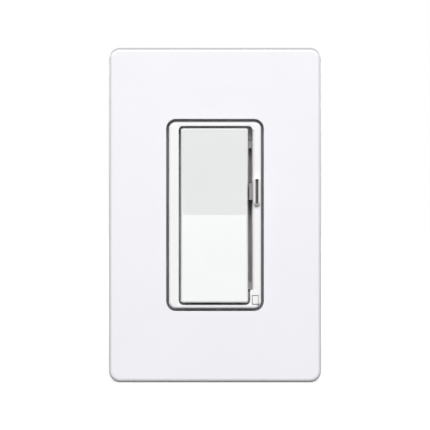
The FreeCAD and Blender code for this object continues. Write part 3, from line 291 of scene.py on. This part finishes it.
def knob_plastic():
    """The knob's ABS: its cap a pale grey for painted shade, with painted shade as grey on the arm
    and as a dark line in the thumb groove.
    """
    return grained(
        "abs_knob_painted_shade", ("#ECECEC", "#EEEEEE"),
        patch_mm=14, roughness=(0.18, 0.26), grain_mm=2.2, depth_mm=0.002,
        over=[groove_painted_shade, arm_painted_shade], IOR=ABS_IOR,
    )


def cool_white_plastic():
    """Polycarbonate from a polished mould: the gloss of the frame's ABS, but a cooler white."""
    return grained(
        "polycarbonate_gloss_cool", ("#F4F3F8", "#F6F5FA"),
        patch_mm=14, roughness=(0.22, 0.27), grain_mm=2.4, depth_mm=0.002,
        over=[dust_and_painted_shade, rim_painted_shade], IOR=POLYCARBONATE_IOR,
    )


def satin_white_plastic():
    """Polycarbonate from a spark-eroded mould: a soft satin sheen with a fine even grain.
    The real grain is about 0.03 mm. Here it is 0.35 mm, so that it shows at all."""
    return grained(
        "polycarbonate_satin", ("#EDEDEC", "#F3F3F2"),
        patch_mm=16, roughness=(0.4, 0.5), grain_mm=0.35, depth_mm=0.006,
        IOR=POLYCARBONATE_IOR,
    )


def black_nylon():
    """Glass-filled nylon: dull near-black with faint grey flow patches and a sandy grain."""
    return grained(
        "nylon_glass_filled", ("#1B1C1E", "#2A2C2E"),
        patch_mm=9, roughness=(0.46, 0.6), grain_mm=0.4, depth_mm=0.012,
        IOR=NYLON_IOR,
    )


def rolled_aluminium():
    """Mill-finish aluminium strip: lengthwise roller lines and a dull, cool grey reflection."""
    return grained(
        "aluminium_rolled", ("#969597", "#A8A7A9"),
        patch_mm=1.2, roughness=(0.4, 0.52), grain_mm=0.5, depth_mm=0.004,
        stretch=(1, 1, 14), Metallic=1.0,
    )


def zinc_steel():
    """Steel screws with clear zinc plating: bright, with a faint blue and yellow cast."""
    return grained(
        "steel_zinc_plated", ("#B4B8BE", "#C9C7BC"),
        patch_mm=1.8, roughness=(0.24, 0.36), grain_mm=0.4, depth_mm=0.003,
        Metallic=1.0,
    )


def green_steel():
    """Steel under green dyed zinc: metallic green that darkens and wears a little in patches."""
    return grained(
        "steel_green_dyed", ("#2F7A46", "#4B9A5E"),
        patch_mm=1.5, roughness=(0.3, 0.42), grain_mm=0.4, depth_mm=0.004,
        Metallic=1.0,
    )


def stamped_brass():
    """Stamped brass: warm yellow with browner handled patches and fine draw lines."""
    return grained(
        "brass_stamped", ("#C9A457", "#DCC07A"),
        patch_mm=2.2, roughness=(0.26, 0.4), grain_mm=0.5, depth_mm=0.004,
        Metallic=1.0,
    )


def tinned_steel():
    """Tin-plated steel: pale grey with a cloudy, half-bright face."""
    return grained(
        "steel_tin_plated", ("#BFC0C0", "#D4D4D2"),
        patch_mm=2.5, roughness=(0.28, 0.42), grain_mm=0.6, depth_mm=0.004,
        Metallic=1.0,
    )


def spring_bronze():
    """Phosphor bronze strip: a redder yellow than brass, with a rolled sheen."""
    return grained(
        "bronze_spring", ("#B98A54", "#CFA26B"),
        patch_mm=1.4, roughness=(0.24, 0.34), grain_mm=0.3, depth_mm=0.003,
        Metallic=1.0,
    )


def switch_plastic():
    """Black moulded thermoset of a press switch: half-matt with a light grain."""
    return grained(
        "phenolic_black_moulded", ("#161718", "#202122"),
        patch_mm=3, roughness=(0.4, 0.52), grain_mm=0.4, depth_mm=0.006,
    )


def paper_phenolic():
    """Punched phenolic paper board: mottled pale greyish cream with fine paper fibres."""
    return grained(
        "phenolic_paper", ("#D4CBCA", "#DED7D6"),
        patch_mm=0.8, roughness=(0.4, 0.55), grain_mm=0.3, depth_mm=0.005,
        stretch=(1, 1, 4),
    )


def moulded_polyester():
    """Mineral-filled polyester moulding: a flat stone grey with fine lighter flecks."""
    return grained(
        "polyester_moulded_stone", ("#D8D1D3", "#E2DCDE"),
        patch_mm=1.0, roughness=(0.45, 0.6), grain_mm=0.3, depth_mm=0.006,
    )


def polyester_film():
    """Polyester film: milky, slick and slightly wavy."""
    return grained(
        "polyester_film", ("#DDE0DC", "#EDEEEA"),
        patch_mm=6, roughness=(0.14, 0.24), grain_mm=3.0, depth_mm=0.02,
    )


def silicone_pad():
    """Filled silicone sheet: chalky grey with the print of its glass weave."""
    return grained(
        "silicone_filled", ("#8E949A", "#A2A7AC"),
        patch_mm=1.0, roughness=(0.62, 0.75), grain_mm=0.5, depth_mm=0.01,
    )


def black_epoxy():
    """Transfer-moulded epoxy of a chip package: dark grey and matt."""
    return grained(
        "epoxy_moulded_black", ("#1C1D1F", "#27282A"),
        patch_mm=2, roughness=(0.5, 0.62), grain_mm=0.25, depth_mm=0.006,
    )


def blue_epoxy():
    """Dipped epoxy of a surge disc: glossy blue with an uneven flow."""
    return grained(
        "epoxy_dipped_blue", ("#1E4E8C", "#2A63A8"),
        patch_mm=3, roughness=(0.2, 0.32), grain_mm=1.5, depth_mm=0.02,
    )


def yellow_film_case():
    """Boxed film capacitor in yellow polyester tape: satin with slight wrinkles."""
    return grained(
        "polyester_case_yellow", ("#D8B12E", "#E4C04A"),
        patch_mm=4, roughness=(0.3, 0.42), grain_mm=1.5, depth_mm=0.01,
    )


def ferrite_core():
    """Sintered ferrite: charcoal with a dry, slightly sparkling grain."""
    return grained(
        "ferrite_sintered", ("#2A2A2C", "#3A3A3D"),
        patch_mm=1.2, roughness=(0.45, 0.6), grain_mm=0.3, depth_mm=0.01,
    )


def led_lens():
    """Pale yellow lens of the indicator, a little milky."""
    return grained(
        "silicone_led_lens", ("#E9DDA0", "#F2E8B6"),
        patch_mm=0.8, roughness=(0.25, 0.35), grain_mm=0.4, depth_mm=0.003,
    )


def clear_acrylic():
    """Moulded acrylic light pipe: clear, with faint flow waves on its polished sides."""
    return grained(
        "acrylic_clear", ("#F2F6F6", "#FFFFFF"),
        patch_mm=2, roughness=(0.03, 0.08), grain_mm=0.8, depth_mm=0.002,
        IOR=ACRYLIC_IOR, Transmission_Weight=1.0,
    )


def copper_winding():
    """Enamelled copper wire, wound side by side: amber turns, with painted shade as dark lines at
    their sides, between them.
    """
    material, tree, place = new_material("copper_enamelled")
    per_turn = (1 / (WIRE_MM * MM),) * 3
    turns = add(tree, "ShaderNodeMapping", {"Vector": place, "Scale": per_turn})
    height = add(tree, "ShaderNodeSeparateXYZ", {"Vector": turns}).outputs["Z"]
    crown = add(tree, "ShaderNodeMath", {0: height, 1: 0.5}, operation="PINGPONG")
    share = add(tree, "ShaderNodeMapRange", {"Value": crown, "From Max": WIRE_SHADED_SHARE})
    sockets = {0: share, 1: linear("#6E3419"), 2: linear("#C97B43")}
    colour = add(tree, "ShaderNodeMix", sockets, data_type="RGBA")
    sheen = add(tree, "ShaderNodeTexNoise", {"Vector": turns, "Scale": 0.7})
    polish = add(tree, "ShaderNodeMapRange", {"Value": sheen, "To Min": 0.2, "To Max": 0.3})
    finish(tree, colour, polish, share, depth_mm=0.12, Metallic=1.0)
    return material


def printed_board():
    """Circuit board under green solder mask: lighter tracks on a grid show through the lacquer."""
    material, tree, place = new_material("fr4_solder_mask")
    per_hole = (1 / (HOLE_GRID_MM * MM),) * 3
    grid = add(tree, "ShaderNodeMapping", {"Vector": place, "Scale": per_hole})
    parts = add(tree, "ShaderNodeSeparateXYZ", {"Vector": grid}).outputs
    flat = add(tree, "ShaderNodeCombineXYZ", {"X": parts["X"], "Y": parts["Z"]})
    # The tracks are the joints of a brick pattern, whose sizes are in steps of the grid
    sockets = {"Vector": flat, "Scale": 1.0, "Mortar": linear("#3C8F57"), "Mortar Size": 0.06}
    sockets |= {"Color1": linear("#14532D"), "Color2": linear("#1B6A3A")}
    sockets |= {"Brick Width": 2.0, "Row Height": 0.5}
    tracks = add(tree, "ShaderNodeTexBrick", sockets)
    lacquer = add(tree, "ShaderNodeTexNoise", {"Vector": grid, "Scale": 0.8})
    polish = add(tree, "ShaderNodeMapRange", {"Value": lacquer, "To Min": 0.2, "To Max": 0.36})
    finish(tree, tracks.outputs["Color"], polish, tracks.outputs["Fac"], depth_mm=0.03)
    return material


FINISHES = {
    "gloss_white": gloss_white_plastic(),
    "satin_white": satin_white_plastic(),
    "housing_black": black_nylon(),
    "strap_aluminium": rolled_aluminium(),
    "zinc_steel": zinc_steel(),
    "green_screw": green_steel(),
    "brass": stamped_brass(),
    "tinned_steel": tinned_steel(),
    "spring_bronze": spring_bronze(),
    "copper_wire": copper_winding(),
    "board_green": printed_board(),
    "switch_black": switch_plastic(),
    "phenolic": paper_phenolic(),
    "polyester_film": polyester_film(),
    "silicone_pad": silicone_pad(),
    "epoxy_black": black_epoxy(),
    "epoxy_blue": blue_epoxy(),
    "film_yellow": yellow_film_case(),
    "clear_acrylic": clear_acrylic(),
    "led_yellow": led_lens(),
    "ferrite": ferrite_core(),
}
OWN_FINISH = {
    "wallplate_cover": cool_white_plastic(),
    "paddle": paddle_plastic(),
    "slider_knob": knob_plastic(),
    "slide_pot_housing": moulded_polyester(),
}
SLOT_OF = {row["node"]: row["material_slot"] for row in frame["record"]["subparts"]}
BODY_OF = {
    node: body
    for body, nodes in frame["record"]["behaviour"]["bodies"].items()
    for node in nodes
}


def finish_of(node):
    """The material of a node: its slot's, unless the piece has a finish of its own."""
    return OWN_FINISH.get(node, FINISHES[SLOT_OF[node]])


for node_name, node_object in frame["nodes"].items():
    for material_slot in node_object.material_slots:
        material_slot.material = finish_of(node_name)


def show(mesh, name):
    """A mesh as an object at the origin."""
    piece = bpy.data.objects.new(name, mesh)
    bpy.context.scene.collection.objects.link(piece)
    return piece


def stand_for(piece, node):
    """Puts a finished piece in the place of a CAD node, with its body, slot and material."""
    piece.data.materials.clear()
    piece.data.materials.append(finish_of(node))
    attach(piece, BODY_OF[node])
    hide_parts(node)


# Moulded, punched and machined pieces: the CAD shapes with small edge rounds

def merged(node):
    """A CAD node's loose triangles as one skin of flat, convex faces."""
    skin = bmesh.new()
    skin.from_mesh(frame["nodes"][node].data)
    bmesh.ops.remove_doubles(skin, verts=skin.verts, dist=MERGE_GAP)
    bmesh.ops.dissolve_limit(skin, angle_limit=FLAT_ANGLE, verts=skin.verts, edges=skin.edges)
    bmesh.ops.connect_verts_concave(skin, faces=skin.faces)
    return skin


def edge_rounded(node, name, radius_mm, segments=2, from_angle=40, creased=False):
    """A node's copy with rounded edges. A creased piece keeps its long shallow folds crisp."""
    mesh = bpy.data.meshes.new(name)
    skin = merged(node)
    if creased:
        for edge in skin.edges:
            shallow = edge.calc_face_angle(0) < CREASE_ANGLE
            edge.smooth = shallow or edge.calc_length() < CREASE_LENGTH
    skin.to_mesh(mesh)
    skin.free()
    normals = mesh.attributes.get("custom_normal")
    if normals:
        mesh.attributes.remove(normals)
    mesh.polygons.foreach_set("use_smooth", [True] * len(mesh.polygons))
    piece = show(mesh, name)
    bevel = piece.modifiers.new("edge_round", "BEVEL")
    bevel.width = radius_mm * MM
    bevel.segments = segments
    bevel.limit_method = "ANGLE"
    bevel.angle_limit = math.radians(from_angle)
    bevel.use_clamp_overlap = False
    bevel.loop_slide = False
    even = piece.modifiers.new("even_shading", "WEIGHTED_NORMAL")
    even.weight = LARGE_FACE_WEIGHT
    even.keep_sharp = True
    stand_for(piece, node)


edge_rounded("wallplate_cover", "cover_plate", 0.25, segments=3)
edge_rounded("wallplate_adapter", "adapter_plate", 0.12)
edge_rounded("bezel_frame", "bezel", 0.2)
edge_rounded("paddle", "rocker_paddle", 0.14, segments=3, from_angle=25, creased=True)
edge_rounded("slider_knob", "dimming_knob", 0.12, segments=3, from_angle=25)
edge_rounded("air_gap_tab", "service_tab", 0.1, from_angle=25)
edge_rounded("yoke", "mounting_strap", 0.12)
edge_rounded("rear_housing", "housing_shell", 0.2, segments=3, from_angle=25)
edge_rounded("terminal_plates", "terminal_strips", 0.1)
edge_rounded("terminal_clamps", "wire_clamps", 0.1)


# Screws

def screw_head(tree, size, at):
    """A cone or drum whose top swells by the dome, with the driver slot cut across it."""
    sockets = {"Vertices": HEAD_SIDES, "Side Segments": HEAD_ROWS, "Fill Segments": DOME_RINGS}
    sockets |= {"Radius Top": size["Head Radius"], "Radius Bottom": size["Foot Radius"]}
    sockets["Depth"] = size["Head Height"]
    drum = add(tree, "GeometryNodeMeshCone", sockets, fill_type="TRIANGLE_FAN")
    flat = add(tree, "ShaderNodeCombineXYZ", {"X": at["X"], "Y": at["Y"]})
    out = add(tree, "ShaderNodeVectorMath", {0: flat}, operation="LENGTH")
    share = add(tree, "ShaderNodeMath", {0: out, 1: size["Head Radius"]}, operation="DIVIDE")
    square = add(tree, "ShaderNodeMath", {0: share, 1: 2.0}, operation="POWER")
    left = add(tree, "ShaderNodeMath", {0: 1.0, 1: square}, operation="SUBTRACT")
    swell = add(tree, "ShaderNodeMath", {0: size["Dome"], 1: left}, operation="MULTIPLY")
    lift = add(tree, "ShaderNodeCombineXYZ", {"Z": swell})
    sockets = {"Geometry": drum.outputs["Mesh"], "Selection": drum.outputs["Top"], "Offset": lift}
    domed = add(tree, "GeometryNodeSetPosition", sockets)
    # The bar reaches past the head, and half of its depth stands over the top
    across = add(tree, "ShaderNodeMath", {0: size["Head Radius"], 1: 3.0}, operation="MULTIPLY")
    deep = add(tree, "ShaderNodeMath", {0: size["Slot Depth"], 1: 2.0}, operation="MULTIPLY")
    slot_size = add(tree, "ShaderNodeCombineXYZ", {"X": across, "Y": size["Slot Width"], "Z": deep})
    bar = add(tree, "GeometryNodeMeshCube", {"Size": slot_size})
    top = add(tree, "ShaderNodeCombineXYZ", {"Z": size["Head Height"]})
    cutter = add(tree, "GeometryNodeTransform", {"Geometry": bar, "Translation": top})
    cut = {"operation": "DIFFERENCE", "solver": "EXACT"}
    return add(tree, "GeometryNodeMeshBoolean", {0: domed, 1: cutter}, **cut)


def screw_shank(tree, size, at):
    """A rod whose skin rises and falls once per pitch, turning as it goes, with a narrow tip."""
    sockets = {0: size["Shank Length"], 1: size["Pitch"]}
    turns = add(tree, "ShaderNodeMath", sockets, operation="DIVIDE")
    rows = add(tree, "ShaderNodeMath", {0: turns, 1: ROWS_PER_THREAD}, operation="MULTIPLY")
    whole = add(tree, "FunctionNodeFloatToInt", {"Float": rows}, rounding_mode="CEILING")
    sockets = {"Vertices": SHANK_SIDES, "Side Segments": whole}
    sockets |= {"Radius": size["Shank Radius"], "Depth": size["Shank Length"]}
    rod = add(tree, "GeometryNodeMeshCylinder", sockets)
    # The groove is deepest halfway between two crests, which climb one pitch in a full turn
    angle = add(tree, "ShaderNodeMath", {0: at["Y"], 1: at["X"]}, operation="ARCTAN2")
    turned = add(tree, "ShaderNodeMath", {0: angle, 1: 2 * math.pi}, operation="DIVIDE")
    along = add(tree, "ShaderNodeMath", {0: at["Z"], 1: size["Pitch"]}, operation="DIVIDE")
    phase = add(tree, "ShaderNodeMath", {0: turned, 1: along}, operation="ADD")
    groove = add(tree, "ShaderNodeMath", {0: phase, 1: 0.5}, operation="PINGPONG")
    cut = add(tree, "ShaderNodeMath", {0: groove, 1: 2.0}, operation="MULTIPLY")
    depth = add(tree, "ShaderNodeMath", {0: cut, 1: size["Thread Depth"]}, operation="MULTIPLY")
    share = add(tree, "ShaderNodeMath", {0: depth, 1: size["Shank Radius"]}, operation="DIVIDE")
    kept = add(tree, "ShaderNodeMath", {0: 1.0, 1: share}, operation="SUBTRACT")
    # The tip narrows over the last pitch, and the rod hangs with its top at the head
    end = add(tree, "ShaderNodeMath", {0: size["Shank Length"], 1: -0.5}, operation="MULTIPLY")
    start = add(tree, "ShaderNodeMath", {0: end, 1: size["Pitch"]}, operation="ADD")
    sockets = {"Value": at["Z"], "From Min": end, "From Max": start, "To Min": TIP_SHARE}
    taper = add(tree, "ShaderNodeMapRange", sockets)
    scale = add(tree, "ShaderNodeMath", {0: kept, 1: taper}, operation="MULTIPLY")
    cut_x = add(tree, "ShaderNodeMath", {0: at["X"], 1: scale}, operation="MULTIPLY")
    cut_y = add(tree, "ShaderNodeMath", {0: at["Y"], 1: scale}, operation="MULTIPLY")
    sunk = add(tree, "ShaderNodeMath", {0: at["Z"], 1: end}, operation="ADD")
    spot = add(tree, "ShaderNodeCombineXYZ", {"X": cut_x, "Y": cut_y, "Z": sunk})
    return add(tree, "GeometryNodeSetPosition", {"Geometry": rod, "Position": spot})


def screw_tree():
    """Slotted screws on points: +Z is each head's outer side, and the point lies under the head."""
    tree = bpy.data.node_groups.new("slotted_screws", "GeometryNodeTree")
    interface = tree.interface
    interface.new_socket("Points", in_out="INPUT", socket_type="NodeSocketGeometry")
    for name in ("Head Radius", "Foot Radius", "Head Height", "Dome", "Slot Width", "Slot Depth"):
        interface.new_socket(name, in_out="INPUT", socket_type="NodeSocketFloat")
    for name in ("Shank Radius", "Shank Length", "Pitch", "Thread Depth", "Turn"):
        interface.new_socket(name, in_out="INPUT", socket_type="NodeSocketFloat")
    interface.new_socket("Direction", in_out="INPUT", socket_type="NodeSocketVector")
    interface.new_socket("Finish", in_out="INPUT", socket_type="NodeSocketMaterial")
    interface.new_socket("Screws", in_out="OUTPUT", socket_type="NodeSocketGeometry")
    size = add(tree, "NodeGroupInput").outputs
    place = add(tree, "GeometryNodeInputPosition")
    at = add(tree, "ShaderNodeSeparateXYZ", {"Vector": place}).outputs
    both = add(tree, "GeometryNodeJoinGeometry", {"Geometry": screw_head(tree, size, at)})
    tree.links.new(screw_shank(tree, size, at).outputs["Geometry"], both.inputs["Geometry"])
    aimed = add(tree, "FunctionNodeEulerToRotation", {"Euler": size["Direction"]})
    sockets = {"Points": size["Points"], "Instance": both, "Rotation": aimed}
    placed = add(tree, "GeometryNodeInstanceOnPoints", sockets)
    index = add(tree, "GeometryNodeInputIndex")
    angle = add(tree, "ShaderNodeMath", {0: index, 1: size["Turn"]}, operation="MULTIPLY")
    axis = add(tree, "ShaderNodeCombineXYZ", {"Z": angle})
    turn = add(tree, "FunctionNodeEulerToRotation", {"Euler": axis})
    turned = add(tree, "GeometryNodeRotateInstances", {"Instances": placed, "Rotation": turn})
    real = add(tree, "GeometryNodeRealizeInstances", {"Geometry": turned})
    done = add(tree, "GeometryNodeSetMaterial", {"Geometry": real, "Material": size["Finish"]})
    add(tree, "NodeGroupOutput", {"Screws": done})
    return tree


SCREW_TREE = screw_tree()


def solids_of(node):
    """The lowest and highest corners of each solid in a node."""
    skin = merged(node)
    left = set(skin.verts)
    boxes = []
    while left:
        stack = [left.pop()]
        part = []
        while stack:
            corner = stack.pop()
            part.append(corner.co.copy())
            linked = {edge.other_vert(corner) for edge in corner.link_edges} & left
            left -= linked
            stack += linked
        low = Vector([min(point[axis] for point in part) for axis in range(3)])
        high = Vector([max(point[axis] for point in part) for axis in range(3)])
        boxes.append((low, high))
    skin.free()
    return sorted(boxes, key=lambda box: (box[0].z, box[0].x))


def screws(node, name, direction, sizes, turn=0.0):
    """Detailed screws in the place of a node's plain ones, all of one length, and each on its own
    axis and seat. Each one's driver slot is turned on from the one before by turn, in radians."""
    outward = Vector((0, 0, 1))
    outward.rotate(Euler(direction))
    head = (sizes["Head Height"] + sizes["Dome"]) * MM
    boxes = solids_of(node)
    low, high = boxes[-1]
    length = abs((high - low).dot(outward))
    seats = [(low + high) / 2 + outward * (length / 2 - head) for low, high in boxes]
    mesh = bpy.data.meshes.new(name + "_points")
    mesh.from_pydata(seats, [], [])
    holder = show(mesh, name + "_points")
    maker = holder.modifiers.new("screws", "NODES")
    maker.node_group = SCREW_TREE
    values = {key: value * MM for key, value in sizes.items()}
    values.update({"Shank Length": length - head, "Turn": turn, "Direction": direction})
    values["Finish"] = finish_of(node)
    for item in SCREW_TREE.interface.items_tree:
        if item.in_out == "INPUT" and item.name in values:
            maker[item.identifier] = values[item.name]
    graph = bpy.context.evaluated_depsgraph_get()
    made = bpy.data.meshes.new_from_object(holder.evaluated_get(graph), depsgraph=graph)
    holder.modifiers.remove(maker)
    bpy.data.objects.remove(holder)
    made.name = name
    made.shade_smooth()
    made.set_sharp_from_angle(angle=CRISP_ANGLE)
    stand_for(show(made, name), node)


# Sizes in mm: number 6-32 screws have a 0.794 mm pitch, and the case screws cut their own thread
MACHINE = {
    "Shank Radius": 1.75, "Pitch": 0.794, "Thread Depth": 0.42,
    "Slot Width": 0.9, "Slot Depth": 1.0,
}
COUNTERSUNK = MACHINE | {
    "Head Radius": 3.1, "Foot Radius": 1.75, "Head Height": 1.4, "Dome": 0.0, "Slot Depth": 0.8,
}
STRAP_SCREW = MACHINE | {"Head Radius": 2.9, "Foot Radius": 3.3, "Head Height": 1.4, "Dome": 0.6}
BINDING = MACHINE | {"Head Radius": 3.0, "Foot Radius": 3.3, "Head Height": 1.5, "Dome": 0.5}
BONDING = MACHINE | {"Head Radius": 3.2, "Foot Radius": 3.5, "Head Height": 1.4, "Dome": 0.6}
CASE = {
    "Head Radius": 2.05, "Foot Radius": 2.2, "Head Height": 1.1, "Dome": 0.5,
    "Shank Radius": 1.2, "Pitch": 1.06, "Thread Depth": 0.3,
    "Slot Width": 0.8, "Slot Depth": 0.6,
}
CLAMP = CASE | {
    "Head Radius": 2.2, "Foot Radius": 2.3, "Dome": 0.4, "Shank Radius": 1.25, "Pitch": 0.7,
}
screws("adapter_screws", "plate_screws", FACES_FRONT, COUNTERSUNK, turn=0.9)
screws("box_screws", "strap_screws", FACES_FRONT, STRAP_SCREW, turn=1.3)
screws("housing_screws", "case_screws", FACES_BACK, CASE, turn=0.7)
screws("terminal_screws", "binding_screws", FACES_RIGHT, BINDING, turn=1.0)
screws("ground_screw", "bonding_screw", FACES_DOWN, BONDING)
screws("clamp_screw", "transistor_screw", FACES_BACK, CLAMP)


# Floor, light and camera

def seen_directly(tree):
    """1 for rays from the camera, a mirror or clear plastic, 0 for light that falls on things."""
    ray = add(tree, "ShaderNodeLightPath").outputs
    direct, mirrored = ray["Is Camera Ray"], ray["Is Glossy Ray"]
    seen = add(tree, "ShaderNodeMath", {0: direct, 1: mirrored}, operation="MAXIMUM")
    sockets = {0: seen, 1: ray["Is Transmission Ray"]}
    return add(tree, "ShaderNodeMath", sockets, operation="MAXIMUM")


def stage_floor():
    """A plain pale floor that shows white, with the object's soft shadow on it. Its glow grows with
    the distance, where the lamps no longer reach."""
    level = cad_box[0][2] - FLOOR_GAP
    square = ((-1, -1), (1, -1), (1, 1), (-1, 1))
    corners = [(x * FLOOR_HALF, y * FLOOR_HALF, level) for x, y in square]
    mesh = bpy.data.meshes.new("floor")
    mesh.from_pydata(corners, [], [(0, 1, 2, 3)])
    material, tree, place = new_material("floor_paper_white")
    sockets = {"Vector": place, "Scale": FLOOR_PATCHES_PER_METRE}
    patches = add(tree, "ShaderNodeTexNoise", sockets)
    sockets = {0: patches, 1: linear("#C6C6C5"), 2: linear("#CCCCCB")}
    paper = add(tree, "ShaderNodeMix", sockets, data_type="RGBA")
    sockets = {0: seen_directly(tree), 1: linear(FLOOR_BOUNCE), 2: paper}
    tone = add(tree, "ShaderNodeMix", sockets, data_type="RGBA")
    diffuse = add(tree, "ShaderNodeBsdfDiffuse", {"Color": tone})
    direct = add(tree, "ShaderNodeLightPath").outputs["Is Camera Ray"]
    away = add(tree, "ShaderNodeVectorMath", {0: place}, operation="LENGTH")
    sockets = {"Value": away, "From Min": FLOOR_REACH[0], "From Max": FLOOR_REACH[1]}
    sockets |= {"To Min": FLOOR_GLOW[0], "To Max": FLOOR_GLOW[1]}
    rise = add(tree, "ShaderNodeMapRange", sockets)
    glow = add(tree, "ShaderNodeMath", {0: direct, 1: rise}, operation="MULTIPLY")
    light = add(tree, "ShaderNodeEmission", {"Strength": glow})
    both = add(tree, "ShaderNodeAddShader", {0: diffuse, 1: light})
    add(tree, "ShaderNodeOutputMaterial", {"Surface": both})
    floor = show(mesh, "floor")
    floor.data.materials.append(material)


def studio_world():
    """White where it is seen or mirrored, and a soft even fill on everything else."""
    world = bpy.data.worlds.new("studio")
    bpy.context.scene.world = world
    world.use_nodes = True
    tree = world.node_tree
    tree.nodes.clear()
    sockets = {"Value": seen_directly(tree), "To Min": WORLD_FILL}
    strength = add(tree, "ShaderNodeMapRange", sockets)
    sky = add(tree, "ShaderNodeBackground", {"Color": linear("#FFFFFF"), "Strength": strength})
    add(tree, "ShaderNodeOutputWorld", {"Surface": sky})


def soft_lamp(name, place, side, watts):
    """A square white lamp that points at the middle of the plate."""
    lamp = bpy.data.lights.new(name, "AREA")
    lamp.size = side
    lamp.energy = watts
    holder = bpy.data.objects.new(name, lamp)
    holder.location = place
    holder.rotation_euler = (-Vector(place)).to_track_quat("-Z", "Y").to_euler()
    bpy.context.scene.collection.objects.link(holder)


def photo_camera():
    """Square on to the plate, far enough for the plate's height to fill its share of the frame."""
    low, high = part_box("wallplate_cover")
    reach = (high.z - low.z) / PLATE_SHARE * LENS_MM / SENSOR_MM
    data = bpy.data.cameras.new("photo_camera")
    data.lens = LENS_MM
    data.sensor_width = SENSOR_MM
    data.clip_start = NEAR_CLIP
    camera = bpy.data.objects.new("photo_camera", data)
    camera.location = (0, low.y - reach, (low.z + high.z) / 2)
    camera.rotation_euler = (QUARTER, 0, 0)
    bpy.context.scene.collection.objects.link(camera)
    bpy.context.scene.camera = camera


stage_floor()
studio_world()
for lamp_name, lamp_settings in SOFTBOXES.items():
    soft_lamp(lamp_name, *lamp_settings)
photo_camera()
bpy.context.scene.view_settings.view_transform = "Standard"
